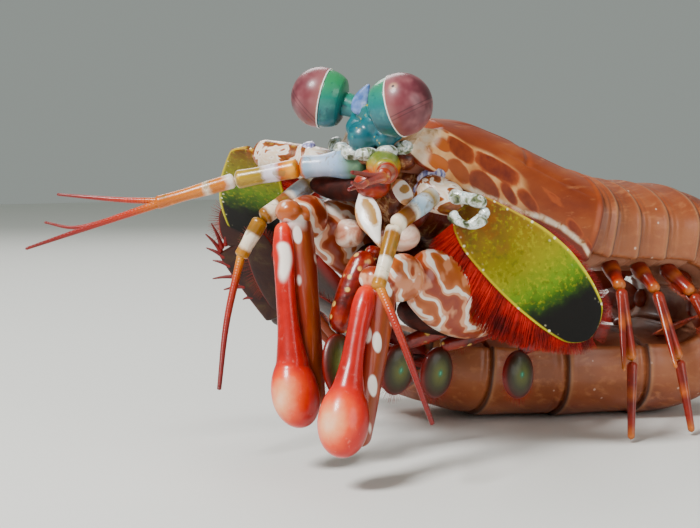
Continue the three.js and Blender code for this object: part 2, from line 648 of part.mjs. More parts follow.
// Tail plate: domed, with three keels and three pairs of teeth on its rear edge.
const telson = { keelHigh: 0.8, keelHalf: 0.7, toothHalf: 0.8 };
function telsonRing(share) {
  const spot = bodySpot(mix(telsonEnds[0], telsonEnds[1], share));
  return {
    centre: spot.at,
    x: spot.left,
    z: spot.up,
    wide: share < 0.3 ? mix(10.8, 12.4, share / 0.3) : mix(12.4, 6.4, ((share - 0.3) / 0.7) ** 1.7),
    high: mix(4.6, 1.0, share ** 0.8),
    below: mix(3.4, 0.7, share ** 0.7),
    squareAbove: 0.95,
    squareBelow: 0.7,
  };
}
function telsonTop(share, left) {
  const ring = telsonRing(share);
  const lift = ring.high * Math.sqrt(Math.max(0, 1 - (left / ring.wide) ** 2));
  return ring.centre.clone().addScaledVector(ring.x, left).addScaledVector(ring.z, lift);
}
function addTelson() {
  addPart('telson', colours.tail, (extra) => {
    const plate = loft([0, 0.15, 0.4, 0.65, 0.86, 1].map(telsonRing), 14, extra);
    const keels = [0, -0.42, 0.42].map((place) => {
      const start = telsonTop(0.14, place * 10);
      const end = telsonTop(place === 0 ? 0.9 : 0.84, place * 7);
      return limbPiece({
        from: start, to: end, across: bodySpot(148).left, around: 6,
        wide: [0.4, telson.keelHalf, 0.3], high: [0.5, telson.keelHigh, 0.4],
        bow: bodySpot(148).up.clone().multiplyScalar(0.5),
      }, extra);
    });
    const teeth = [];
    for (const hand of [-1, 1]) {
      for (const [share, left, reach] of [[0.93, 2.4, 3.6], [0.86, 6.0, 3.4], [0.66, 9.4, 3.0]]) {
        const ring = telsonRing(share);
        const root = ring.centre.clone().addScaledVector(ring.x, hand * left);
        const back = bodySpot(mix(telsonEnds[0], telsonEnds[1], share)).back;
        const tip = root.clone().addScaledVector(back, reach).addScaledVector(ring.x, hand * left * 0.08);
        teeth.push(spine(root, tip, telson.toothHalf, extra));
      }
    }
    return [plate, ...keels, ...teeth];
  });
}

// Tail fan: each side has a stout base, an outer paddle with a row of spines and an inner paddle.
// The right one is spread and raised, the left one lies closer to the tail plate.
const fan = {
  left: {
    root: [131.5, 8.2, -0.4], elbow: vec(-6.6, 13.2, 10.6), outerEnd: vec(-6.4, 4.2, 17.6),
    innerEnd: vec(-10.6, 3.0, 20.6), flat: vec(0.95, -0.25, 0.1),
  },
  right: {
    root: [131.5, -8.2, -0.4], elbow: vec(-28.4, 12.3, 16.4), outerEnd: vec(-31.8, 6.5, 27.4),
    innerEnd: vec(-25.6, 4.8, 29.6), flat: vec(-0.9, -0.4, -0.16),
  },
};
const paddle = { endLong: 6.0, endAside: 3.4, half: 3.1, endHalf: 2.6, innerHalf: 2.7, thick: 0.55 };
const fanSpine = { half: 0.3, inset: 0.7 };
const fanSpines = [
  { at: 0.3, aside: 0, turn: 14, long: 1.2 },
  { at: 0.47, aside: 0, turn: 16, long: 3.0 },
  { at: 0.62, aside: 0, turn: 20, long: 3.6 },
  { at: 0.78, aside: 0, turn: 44, long: 2.3 },
  { at: 0.91, aside: 0, turn: 54, long: 2.6 },
  { at: 1.0, aside: 0, turn: 78, long: 2.9 },
  { at: 1.03, aside: -0.5, turn: 98, long: 3.6 },
  { at: 1.04, aside: -1.3, turn: 118, long: 3.4 },
];
function addUropod(side) {
  const shape = fan[side.name];
  const { elbow, outerEnd, innerEnd } = shape;
  const root = bodyPoint(...shape.root);
  const outer = outerEnd.clone().sub(elbow).normalize();
  const flat = shape.flat.clone().addScaledVector(outer, -shape.flat.dot(outer)).normalize();
  const outerHalf = (share) => mix(1.9, paddle.half, Math.sin((Math.PI / 2) * share));
  const outerLong = outerEnd.distanceTo(elbow);
  addPart(`uropod_${side.name}`, colours.tail, (extra) => {
    const base = limbPiece({
      from: root, to: elbow.clone().addScaledVector(outer, 0.6), across: flat, wide: [2.0, 2.8, 2.9], high: [1.3, 1.3, 1.1],
    }, extra);
    const outerPaddle = blade({
      from: elbow.clone().addScaledVector(outer, -0.8), to: outerEnd, across: flat, halfWidth: outerHalf,
      halfThick: even(paddle.thick), steps: 4, around: 8,
    }, extra);
    const endPaddle = blade({
      from: outerEnd.clone().addScaledVector(outer, -0.6).addScaledVector(flat, -0.7),
      to: outerEnd.clone().addScaledVector(outer, paddle.endLong).addScaledVector(flat, -paddle.endAside),
      across: flat,
      halfWidth: leaf(paddle.endHalf, 2.0, 0.4),
      halfThick: even(paddle.thick * 0.8),
      steps: 5,
      around: 8,
    }, extra);
    const innerPaddle = blade({
      from: elbow.clone().addScaledVector(flat, -1.6), to: innerEnd, across: flat,
      halfWidth: leaf(paddle.innerHalf, 1.6, 0.55), halfThick: even(paddle.thick), steps: 5, around: 8,
    }, extra);
    const spines = fanSpines.map((row) => {
      const edge = elbow.clone().addScaledVector(outer, row.at * outerLong)
        .addScaledVector(flat, outerHalf(Math.min(1, row.at)) - fanSpine.inset + row.aside);
      const turn = (row.turn * Math.PI) / 180;
      const aim = flat.clone().multiplyScalar(Math.cos(turn)).addScaledVector(outer, Math.sin(turn));
      return spine(edge, edge.clone().addScaledVector(aim, row.long + fanSpine.inset), fanSpine.half, extra);
    });
    return [base, outerPaddle, endPaddle, innerPaddle, ...spines];
  });
}

// Order matters: a piece is cut clear of every piece added before it.
addCarapace();
somiteEnds.thorax.slice(1).forEach((end, k) => addSomite(`thorax_${k + 5}`, somiteEnds.thorax[k], end));
somiteEnds.abdomen.slice(1).forEach((end, k) => addSomite(`abdomen_${k + 1}`, somiteEnds.abdomen[k], end));
addEyeBase();
addRostralPlate();
sides.forEach(addEye);
addHead();
addBreast();
addTelson();
sides.forEach(addUropod);
sides.forEach(addClaw);
sides.forEach(addAntennule);
sides.forEach(addAntenna);
sides.forEach(addScale);
sides.forEach(addCleaningLeg);
hands.forEach((row) => sides.forEach((side) => addHand(row, side)));
legs.forEach((row) => sides.forEach((side) => addLeg(row, side)));
for (let index = 0; index < 5; index += 1) sides.forEach((side) => addSwimmeret(index, side));

const boxesTouch = (a, b) => [0, 1, 2].every((k) => a.min[k] <= b.max[k] && b.min[k] <= a.max[k]);

// The largest closed body of a solid.
function largestBody(solid) {
  const bodies = solid.decompose();
  return bodies.reduce((best, body) => (body.volume() > best.volume() ? body : best));
}

// Floor block that trims everything to one level.
const floorSize = 400;
const floorBlock = toSolid(new THREE.BoxGeometry(floorSize, floorSize, 40).translate(0, 0, -20));

function buildSolids() {
  const done = [];
  for (const part of parts) {
    let solid = wasm.Manifold.union(part.pieces(0));
    const grown = wasm.Manifold.union(part.pieces(gap));
    for (const other of done) {
      if (boxesTouch(solid.boundingBox(), other.grown.boundingBox())) solid = solid.subtract(other.grown);
    }
    solid = largestBody(solid.subtract(floorBlock));
    done.push({ ...part, solid, grown });
  }
  return done;
}

function toMesh(part, shift) {
  const { vertProperties, triVerts, numProp } = part.solid.getMesh();
  const geometry = new THREE.BufferGeometry();
  const place = new Float32Array((vertProperties.length / numProp) * 3);
  for (let i = 0; i < place.length / 3; i += 1) {
    for (let k = 0; k < 3; k += 1) place[3 * i + k] = vertProperties[i * numProp + k];
  }
  geometry.setAttribute('position', new THREE.BufferAttribute(place, 3));
  geometry.setIndex(new THREE.BufferAttribute(Uint32Array.from(triVerts), 1));
  geometry.translate(-shift.x, -shift.y, -shift.z);
  geometry.computeVertexNormals();
  const material = new THREE.MeshStandardMaterial({ color: part.colour, roughness: 0.4, metalness: 0 });
  const mesh = new THREE.Mesh(geometry, material);
  mesh.name = part.name;
  return mesh;
}

// The origin is the middle of the underside of the whole animal's box.
function middleOfUnderside(solids) {
  const box = new THREE.Box3();
  for (const { solid } of solids) {
    const { min, max } = solid.boundingBox();
    box.expandByPoint(vec(...min)).expandByPoint(vec(...max));
  }
  const middle = box.getCenter(vec(0, 0, 0));
  return vec(middle.x, middle.y, box.min.z);
}

const shrimp = new THREE.Group();
const solids = buildSolids();
const origin = middleOfUnderside(solids);
for (const part of solids) shrimp.add(toMesh(part, origin));

export default shrimp;
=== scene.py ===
import math

import bpy
import numpy as np
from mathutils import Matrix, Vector


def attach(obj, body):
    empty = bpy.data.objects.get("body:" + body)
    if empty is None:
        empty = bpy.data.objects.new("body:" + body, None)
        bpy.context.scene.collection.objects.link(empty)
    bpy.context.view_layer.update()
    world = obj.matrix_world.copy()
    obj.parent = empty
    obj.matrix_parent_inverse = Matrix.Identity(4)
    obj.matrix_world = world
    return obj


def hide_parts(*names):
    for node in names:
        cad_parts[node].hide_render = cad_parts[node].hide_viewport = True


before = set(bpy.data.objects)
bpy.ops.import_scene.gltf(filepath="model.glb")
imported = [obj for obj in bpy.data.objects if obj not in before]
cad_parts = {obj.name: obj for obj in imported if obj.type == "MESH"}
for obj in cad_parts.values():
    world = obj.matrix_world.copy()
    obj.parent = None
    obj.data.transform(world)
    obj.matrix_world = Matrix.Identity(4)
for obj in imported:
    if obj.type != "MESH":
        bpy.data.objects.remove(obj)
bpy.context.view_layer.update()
print("frame loaded")

# All lengths below are millimetres on the drawing; meshes are made in metres about the part's origin.
designOrigin = np.array([-1.482, 17.763, 0.0])


def unit(v):  # one direction, or rows of them
    v = np.asarray(v, float)
    return v / np.linalg.norm(v, axis=-1, keepdims=True)


def toMetres(points):
    return (np.asarray(points, float) - designOrigin) * 0.001


def tint(code):  # linear colour from the usual six digits
    parts = [int(code[k:k + 2], 16) / 255 for k in (0, 2, 4)]
    return tuple(((p + 0.055) / 1.055) ** 2.4 if p > 0.04045 else p / 12.92 for p in parts) + (1.0,)


# Camera, floor and lights

viewSettings = {
    "cameraAt": (114.5, -139.6, 38.8), "azimuth": 40.0, "dip": 4.0, "lens": 68.2,
    "floorSize": 2.4, "floorColour": "e6e5df", "floorRoughness": 0.7, "worldColour": "d9e3dc",
    "worldStrength": 0.42,
}
studioLights = {  # right, up and towards the camera from the animal, size in metres, strength
    "key": (-0.30, 0.42, 0.34, 0.18, 6.0),
    "fill": (0.42, 0.16, 0.40, 0.40, 1.2),
    "back": (-0.10, 0.40, -0.42, 0.30, 1.2),
}


def viewAxes():
    turn = math.radians(viewSettings["azimuth"])
    dip = math.radians(viewSettings["dip"])
    ahead = np.array([-math.sin(turn) * math.cos(dip), math.cos(turn) * math.cos(dip), -math.sin(dip)])
    right = np.array([math.cos(turn), math.sin(turn), 0.0])
    return right, np.cross(right, ahead), ahead


def makeStage():
    right, up, ahead = viewAxes()
    camera = bpy.data.objects.new("camera", bpy.data.cameras.new("camera"))
    camera.data.lens = viewSettings["lens"]
    camera.data.sensor_width = 36.0
    camera.data.sensor_fit = "HORIZONTAL"
    camera.data.clip_start = 0.005  # the model is small
    camera.location = toMetres(viewSettings["cameraAt"])
    camera.rotation_euler = Vector(ahead).to_track_quat("-Z", "Y").to_euler()
    bpy.context.collection.objects.link(camera)
    bpy.context.scene.camera = camera

    middle = np.array([0.0, 0.0, 0.025])  # half way up the animal
    for name, (aside, over, near, size, power) in studioLights.items():
        light = bpy.data.lights.new(name, "AREA")
        light.shape = "DISK"
        light.size = size
        light.energy = power
        lamp = bpy.data.objects.new(name, light)
        at = middle + right * aside + up * over - ahead * near
        lamp.location = at
        lamp.rotation_euler = Vector(middle - at).to_track_quat("-Z", "Y").to_euler()
        bpy.context.collection.objects.link(lamp)

    world = bpy.data.worlds.new("studio")
    bpy.context.scene.world = world
    world.use_nodes = True
    sky = world.node_tree.nodes["Background"]
    sky.inputs["Color"].default_value = tint(viewSettings["worldColour"])
    sky.inputs["Strength"].default_value = viewSettings["worldStrength"]

    half = viewSettings["floorSize"] / 2
    mesh = bpy.data.meshes.new("floor")
    mesh.from_pydata(
        [(-half, -half, 0), (half, -half, 0), (half, half, 0), (-half, half, 0)], [], [(0, 1, 2, 3)]
    )
    floor = bpy.data.objects.new("floor", mesh)
    material = bpy.data.materials.new("floorPaint")
    material.use_nodes = True
    paint = material.node_tree.nodes["Principled BSDF"]
    paint.inputs["Base Color"].default_value = tint(viewSettings["floorColour"])
    paint.inputs["Roughness"].default_value = viewSettings["floorRoughness"]
    mesh.materials.append(material)
    bpy.context.collection.objects.link(floor)


makeStage()
print("camera, floor and lights ready")


# Node helpers for the finishes

def wire(tree, kind, inputs=None, **settings):
    item = tree.nodes.new(kind)
    for key, value in settings.items():
        setattr(item, key, value)
    for key, value in (inputs or {}).items():
        if value is None:
            continue
        if isinstance(value, bpy.types.NodeSocket):
            tree.links.new(value, item.inputs[key])
        else:
            item.inputs[key].default_value = value
    return item


class Finish:  # a material, and the nodes that its colour and relief come from; sizes are in mm
    def __init__(
            self, name, roughness=0.3, coat=0.4, coatRoughness=0.12, flesh=0.0, fleshDepth=1.2, shine=0.5
    ):
        self.material = bpy.data.materials.new(name)
        self.material.use_nodes = True
        self.tree = self.material.node_tree
        self.shader = self.tree.nodes["Principled BSDF"]
        look = {
            "Roughness": roughness, "Coat Weight": coat, "Coat Roughness": coatRoughness,
            "Specular IOR Level": shine,
        }
        if flesh > 0:
            look.update({
                "Subsurface Weight": flesh, "Subsurface Radius": (1.0, 0.35, 0.2),
                "Subsurface Scale": fleshDepth * 0.001,
            })
        for key, value in look.items():
            self.shader.inputs[key].default_value = value

    def add(self, kind, inputs=None, **settings):
        return wire(self.tree, kind, inputs, **settings)

    def place(self, stretch=None):
        place = self.add("ShaderNodeTexCoord").outputs["Object"]
        if stretch is None:
            return place
        return self.add("ShaderNodeMapping", {"Vector": place, "Scale": stretch}).outputs[0]

    def value(self, name):
        return self.add("ShaderNodeAttribute", attribute_name=name).outputs["Fac"]

    def noise(self, size, detail=3.0, place=None, wobble=0.0):
        return self.add("ShaderNodeTexNoise", {
            "Vector": place or self.place(), "Scale": 1000.0 / size, "Detail": detail, "Roughness": 0.55,
            "Distortion": wobble,
        }).outputs["Fac"]

    def patches(self, size, detail, low, high, wobble=0.0):
        return self.step(self.noise(size, detail, wobble=wobble), low, high)

    def waver(self, size, detail, amount, shift, wobble=0.0):
        return self.math("MULTIPLY_ADD", self.noise(size, detail, wobble=wobble), amount, shift)

    def cells(self, size, feature="F1", place=None, random=1.0):
        return self.add("ShaderNodeTexVoronoi", {
            "Vector": place or self.place(), "Scale": 1000.0 / size, "Randomness": random,
        }, feature=feature).outputs["Distance"]

    def math(self, kind, *values):
        return self.add("ShaderNodeMath", dict(enumerate(values)), operation=kind).outputs[0]

    def times(self, a, b):
        return self.math("MULTIPLY", a, b)

    def plus(self, a, b):
        return self.math("ADD", a, b)

    def rest(self, a):
        return self.math("SUBTRACT", 1.0, a)

    def step(self, value, low, high):  # smooth step from 0 at low to 1 at high
        return self.add("ShaderNodeMapRange", {
            "Value": value, "From Min": low, "From Max": high,
        }, interpolation_type="SMOOTHSTEP").outputs[0]

    def ramp(self, value, stops):  # places and colours, such as "0.3 6e2c10, 0.5 8e4420"
        item = self.add("ShaderNodeValToRGB", {"Fac": value})
        elements = item.color_ramp.elements
        stops = [stop.split() for stop in stops.split(",")]
        while len(elements) < len(stops):
            elements.new(0.5)
        for element, (place, code) in zip(elements, stops):
            element.position = float(place)
        for element, (place, code) in zip(elements, stops):
            element.color = tint(code)
        return item.outputs["Color"]

    def blend(self, amount, a, b, mode="MIX"):
        values = {0: amount, 6: a, 7: b}
        values = {key: tint(value) if isinstance(value, str) else value for key, value in values.items()}
        return self.add("ShaderNodeMix", values, data_type="RGBA", blend_type=mode).outputs[2]

    def relief(self, height, strength, depth, under=None):
        return self.add("ShaderNodeBump", {
            "Height": height, "Strength": strength, "Distance": depth * 0.001, "Normal": under,
        }).outputs[0]

    def grain(self, size, detail, strength, depth):
        return self.relief(self.noise(size, detail), strength, depth)

    def done(self, colour, relief=None):
        self.tree.links.new(colour, self.shader.inputs["Base Color"])
        if relief is not None:
            self.tree.links.new(relief, self.shader.inputs["Normal"])
        return self.material


def mottledFinish(name, stops, noise, relief, **look):  # noise: size, detail, wobble, stretch
    skin = Finish(name, **look)
    size, detail, wobble, stretch = (*noise, None)[:4]
    field = skin.noise(size, detail, skin.place(stretch), wobble)
    strength, depth, fine = (*relief, None)[:3]
    return skin.done(
        skin.ramp(field, stops), skin.relief(skin.noise(*fine) if fine else field, strength, depth)
    )


# Mesh helpers

class Shape:  # gathers surfaces into one mesh, with the values that its finish reads
    def __init__(self):
        self.points = []
        self.faces = []
        self.values = {}
        self.count = 0

    def addPoints(self, points, values):
        start = self.count
        self.points.append(np.asarray(points, float))
        self.count += len(points)
        for key in {**self.values, **values}:
            have = self.values.setdefault(key, np.zeros(start))
            more = np.broadcast_to(values.get(key, 0.0), (len(points),))
            self.values[key] = np.concatenate([have, more])
        return start

    def addGrid(self, grid, caps=(True, True), **values):  # rows of rings, closed at the wanted ends
        rows, columns = grid.shape[:2]
        flat = {k: np.broadcast_to(v, (rows, columns)).ravel() for k, v in values.items()}
        points = grid.reshape(-1, 3)
        i = np.arange(rows - 1)[:, None]
        j = np.arange(columns)[None, :]
        following = (j + 1) % columns
        quads = np.stack([
            i * columns + j, i * columns + following, (i + 1) * columns + following, (i + 1) * columns + j,
        ], -1).reshape(-1, 4)
        faces = [tuple(f) for f in quads.tolist()]
        for row, wanted in ((0, caps[0]), (rows - 1, caps[1])):
            if not wanted:
                continue
            ring = row * columns + np.arange(columns)
            middle = len(points)
            points = np.vstack([points, grid[row].mean(0)])
            flat = {k: np.append(v, v[ring].mean()) for k, v in flat.items()}
            pairs = zip(ring.tolist(), np.roll(ring, -1).tolist())
            faces += [(b, a, middle) if row == 0 else (a, b, middle) for a, b in pairs]
        if all(caps) and self.isInsideOut(points, faces):
            faces = [tuple(reversed(f)) for f in faces]
        start = self.addPoints(points, flat)
        self.faces += [tuple(start + v for v in f) for f in faces]

    @staticmethod
    def isInsideOut(points, faces):
        corners = np.array([(f[0], f[k], f[k + 1]) for f in faces for k in range(1, len(f) - 1)])
        a, b, c = (points[corners[:, k]] - points.mean(0) for k in range(3))
        return np.einsum("ij,ij->i", a, np.cross(b, c)).sum() < 0

    def toObject(self, name):
        mesh = bpy.data.meshes.new(name)
        mesh.from_pydata(toMetres(np.vstack(self.points)).tolist(), [], self.faces)
        for key, values in self.values.items():
            layer = mesh.attributes.new(key, "FLOAT", "POINT")
            layer.data.foreach_set("value", values.astype(np.float32))
        mesh.shade_smooth()
        obj = bpy.data.objects.new(name, mesh)
        bpy.context.collection.objects.link(obj)
        return obj

    def install(self, name, finish, slotName, *nodes):
        return install(self.toObject(name), finish, slotName, *nodes)


def install(obj, finish, slotName, *nodes):
    obj.data.materials.clear()
    obj.data.materials.append(finish)
    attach(obj, "root")
    if nodes:
        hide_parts(*nodes)
    return obj


def bakeModifiers(obj, name):  # the modifiers' result as a plain mesh object
    view = bpy.context.evaluated_depsgraph_get()
    mesh = bpy.data.meshes.new_from_object(obj.evaluated_get(view))
    obj.modifiers.clear()
    bpy.data.objects.remove(obj)
    made = bpy.data.objects.new(name, mesh)
    bpy.context.collection.objects.link(made)
    return made


def fuse(shape, name, voxel, soften):  # one skin over overlapping forms
    obj = shape.toObject(name + "Forms")
    remesh = obj.modifiers.new("fuse", "REMESH")
    remesh.mode = "VOXEL"
    remesh.voxel_size = voxel * 0.001
    smooth = obj.modifiers.new("soften", "SMOOTH")
    smooth.factor = 0.5
    smooth.iterations = soften
    made = bakeModifiers(obj, name)
    made.data.shade_smooth()
    return made


def ease(value, low, high):
    t = np.clip((np.asarray(value, float) - low) / (high - low), 0, 1)
    return t * t * (3 - 2 * t)


def bump(distance, width):
    return np.exp(-(distance / width) ** 2)


def squared(value, power):  # keeps the sign
    return np.sign(value) * np.abs(value) ** power


def angles(count):
    return np.linspace(0, 2 * np.pi, count, endpoint=False)


def fromTop(angle):  # how far round from the middle of the back, either way
    return np.abs((angle + np.pi) % (2 * np.pi) - np.pi)


def splineAt(a, b, c, d, t):  # between b and c
    return 0.5 * (
        2 * b + (c - a) * t + (2 * a - 5 * b + 4 * c - d) * t ** 2 + (3 * b - a - 3 * c + d) * t ** 3
    )


def smoothPath(points, shares):  # smooth line through the points, at even lengths
    points = np.asarray(points, float)
    if len(points) == 2:
        return points[0] + (points[1] - points[0]) * np.asarray(shares)[:, None]
    padded = np.vstack([2 * points[0] - points[1], points, 2 * points[-1] - points[-2]])
    t = np.linspace(0, 1, 40, endpoint=False)[:, None]
    pieces = []
    for k in range(len(points) - 1):
        pieces.append(splineAt(*padded[k:k + 4], t))
    path = np.vstack(pieces + [points[-1:]])
    run = np.concatenate([[0], np.cumsum(np.linalg.norm(np.diff(path, axis=0), axis=1))])
    return np.stack([np.interp(np.asarray(shares) * run[-1], run, path[:, k]) for k in range(3)], 1)


def smoothSizes(values, shares):
    values = np.atleast_1d(np.asarray(values, float))
    if len(values) == 1:
        return np.full(len(shares), values[0])
    padded = np.concatenate([[2 * values[0] - values[1]], values, [2 * values[-1] - values[-2]]])
    place = np.asarray(shares) * (len(values) - 1)
    k = np.clip(place.astype(int), 0, len(values) - 2)
    return splineAt(*(padded[k + n] for n in range(4)), place - k)


def sweep(points, wide, high, across, rows=36, columns=20, ends=(1.0, 1.0), bow=(0, 0, 0)):
    u = np.linspace(0, 1, rows)
    shares = 0.5 * u + 0.5 * (0.5 - 0.5 * np.cos(np.pi * u))
    path = smoothPath(points, shares) + np.asarray(bow, float) * (4 * shares * (1 - shares))[:, None]
    run = np.concatenate([[0], np.cumsum(np.linalg.norm(np.diff(path, axis=0), axis=1))])
    along = np.gradient(path, axis=0)
    along /= np.linalg.norm(along, axis=1)[:, None]
    x = np.asarray(across, float) - along * (along @ np.asarray(across, float))[:, None]
    x /= np.linalg.norm(x, axis=1)[:, None]
    z = np.cross(along, x)
    w, h = smoothSizes(wide, shares), smoothSizes(high, shares)
    for end, distance in ((ends[0], run), (ends[1], run[-1] - run)):
        if end > 0:
            reach = np.clip(distance / (end * 0.5 * (w + h)), 0, 1)
            closing = np.sqrt(np.clip(1 - (1 - reach) ** 2, 0.002, 1))
            w, h = w * closing, h * closing
    angle = angles(columns)
    aside, over = w[:, None] * np.sin(angle), h[:, None] * np.cos(angle)
    return path[:, None] + x[:, None] * aside[..., None] + z[:, None] * over[..., None], shares, angle


def addLimb(shape, points, wide, high, across, rim=None, marks=None, **options):  # rim: 1 at wide edges
    grid, shares, angle = sweep(points, wide, high, across, **options)
    values = dict(marks or {}, along=shares[:, None])
    if rim is not None:
        edge = np.abs(np.sin(angle))[None] ** 3
        values["rim"] = np.maximum(edge, ease(shares, rim, 1)[:, None]) if rim < 1 else edge
    shape.addGrid(grid, **values)


def addBall(shape, centre, radii, rows=14, columns=20):
    tilt = np.linspace(0.02, np.pi - 0.02, rows)[:, None]
    turn = angles(columns)[None, :]
    spot = np.stack([np.sin(tilt) * np.cos(turn), np.sin(tilt) * np.sin(turn), np.cos(tilt) + 0 * turn], -1)
    shape.addGrid(np.asarray(centre, float) + spot * radii)


# The body line, as in the part

snout = np.array([2.6, 0.5, 45.0])
bodyTurns = np.array([  # length, dip below level, swing to the left
    (0, 21, -3), (10, 21, 2), (25, 21, 11), (34, 19, 13), (46, 5, 15), (58.5, 5, 20), (65, 30, 25),
    (93, 180, 37), (118, 181, 41), (132, 196, 30), (140, 212, 20), (161, 240, 12),
], float)
bodySizes = np.array([  # length, half width, back, belly
    (0, 7.2, 1.4, 7.0), (6, 8.6, 3.6, 7.0), (12, 9.6, 5.9, 7.2), (20, 10.9, 6.9, 7.6), (37, 12.5, 7.3, 8.4),
    (45, 11.9, 7.1, 7.4), (60, 12.6, 7.3, 6.6), (80, 13.2, 7.5, 6.0), (110, 13.2, 7.6, 6.0),
    (124, 12.6, 7.4, 5.6), (136, 11.2, 5.6, 4.4), (161, 11.2, 5.6, 4.4),
], float)

bodySquare = {"back": 0.92, "belly": 0.62}  # 1 is round, less is squarer


def traceBody():
    stations = np.arange(0, 161.01, 0.25)
    down, left = (np.radians(np.interp(stations, bodyTurns[:, 0], bodyTurns[:, k])) for k in (1, 2))
    level = np.stack([np.sin(left), np.cos(left), 0 * left], 1)
    rise = np.array([0, 0, 1.0])
    back = level * np.cos(down)[:, None] - rise * np.sin(down)[:, None]
    up = level * np.sin(down)[:, None] + rise * np.cos(down)[:, None]
    side = np.stack([np.cos(left), -np.sin(left), 0 * left], 1)
    at = snout + np.vstack([np.zeros(3), np.cumsum(back[:-1] * 0.25, axis=0)])
    spread = np.exp(-0.5 * (np.arange(-12, 13) / 5.0) ** 2)
    sizes = []
    for k in (1, 2, 3):
        plain = np.interp(stations, bodySizes[:, 0], bodySizes[:, k])
        sizes.append(np.convolve(np.pad(plain, 12, "edge"), spread / spread.sum(), "valid"))
    return stations, np.hstack([at, back, up, side, np.stack(sizes, 1)])


bodyStations, bodyTable = traceBody()


def bodyAt(lengths):  # point, back, up, side, sizes
    lengths = np.atleast_1d(np.asarray(lengths, float))
    row = np.stack([np.interp(lengths, bodyStations, bodyTable[:, k]) for k in range(15)], 1)
    return row[:, 0:3], row[:, 3:6], row[:, 6:9], row[:, 9:12], row[:, 12:15]


def bodyPoint(length, left, up, back=0.0):
    at, along, rise, side, _ = (v[0] for v in bodyAt(length))
    return at + side * left + rise * up + along * back


def bodyGrid(lengths, columns, swell):
    at, _, up, side, sizes = bodyAt(lengths)
    angle = angles(columns)
    x, z = np.sin(angle), np.cos(angle)
    power = np.where(z < 0, bodySquare["belly"], bodySquare["back"])
    extra = swell(np.asarray(lengths)[:, None], fromTop(angle)[None, :])
    across = squared(x, power) * (sizes[:, 0:1] + extra)
    reach = np.where(z < 0, sizes[:, 2:3], sizes[:, 1:2]) + extra
    lift = squared(z, power) * reach
    points = at[:, None] + side[:, None] * across[..., None] + up[:, None] * lift[..., None]
    return points, fromTop(angle)[None, :]


# Bristles that grow from named roots

def makeBristleTree():
    tree = bpy.data.node_groups.new("bristles", "GeometryNodeTree")
    sockets = tree.interface
    sockets.new_socket("Geometry", in_out="INPUT", socket_type="NodeSocketGeometry")
    for name, value in (("Thickness", 0.02), ("Bend", 0.15), ("Variation", 0.2)):
        sockets.new_socket(name, in_out="INPUT", socket_type="NodeSocketFloat").default_value = value
    sockets.new_socket("Finish", in_out="INPUT", socket_type="NodeSocketMaterial")
    sockets.new_socket("Geometry", in_out="OUTPUT", socket_type="NodeSocketGeometry")
    given = wire(tree, "NodeGroupInput")
    bend = wire(tree, "ShaderNodeCombineXYZ", {"X": given.outputs["Bend"], "Z": 1.0})
    line = wire(tree, "GeometryNodeCurveQuadraticBezier", {
        "Resolution": 4, "Start": (0, 0, 0), "Middle": (0, 0, 0.55), "End": bend.outputs[0],
    })
    share = wire(tree, "GeometryNodeSplineParameter").outputs["Factor"]
    taper = wire(tree, "ShaderNodeMapRange", {"Value": share, "To Min": 1.0, "To Max": 0.15})
    radius = wire(
        tree, "ShaderNodeMath", {0: taper.outputs[0], 1: given.outputs["Thickness"]}, operation="MULTIPLY"
    )
    section = wire(tree, "GeometryNodeCurvePrimitiveCircle", {"Resolution": 3, "Radius": 1.0})
    bristle = wire(tree, "GeometryNodeCurveToMesh", {
        "Curve": line.outputs[0], "Profile Curve": section.outputs[0], "Scale": radius.outputs[0],
        "Fill Caps": True,
    })
    aim = wire(tree, "GeometryNodeInputNamedAttribute", {"Name": "aim"}, data_type="FLOAT_VECTOR")
    lean = wire(tree, "GeometryNodeInputNamedAttribute", {"Name": "lean"}, data_type="FLOAT_VECTOR")
    size = wire(tree, "GeometryNodeInputNamedAttribute", {"Name": "size"}, data_type="FLOAT")
    turned = wire(tree, "FunctionNodeAlignEulerToVector", {"Vector": aim.outputs[0]}, axis="Z")
    rolled = wire(tree, "FunctionNodeAlignEulerToVector", {
        "Rotation": turned.outputs[0], "Vector": lean.outputs[0],
    }, axis="X", pivot_axis="Z")
    low = wire(tree, "ShaderNodeMath", {0: 1.0, 1: given.outputs["Variation"]}, operation="SUBTRACT")
    chance = wire(tree, "FunctionNodeRandomValue", {2: low.outputs[0], 3: 1.0, "Seed": 7}, data_type="FLOAT")
    length = wire(tree, "ShaderNodeMath", {0: size.outputs[0], 1: chance.outputs[1]}, operation="MULTIPLY")
    placed = wire(tree, "GeometryNodeInstanceOnPoints", {
        "Points": given.outputs["Geometry"], "Instance": bristle.outputs[0],
        "Rotation": rolled.outputs[0], "Scale": length.outputs[0],
    })
    real = wire(tree, "GeometryNodeRealizeInstances", {"Geometry": placed.outputs[0]})
    done = wire(
        tree, "GeometryNodeSetMaterial", {"Geometry": real.outputs[0], "Material": given.outputs["Finish"]}
    )
    wire(tree, "NodeGroupOutput", {"Geometry": done.outputs[0]})
    return tree


bristleTree = makeBristleTree()


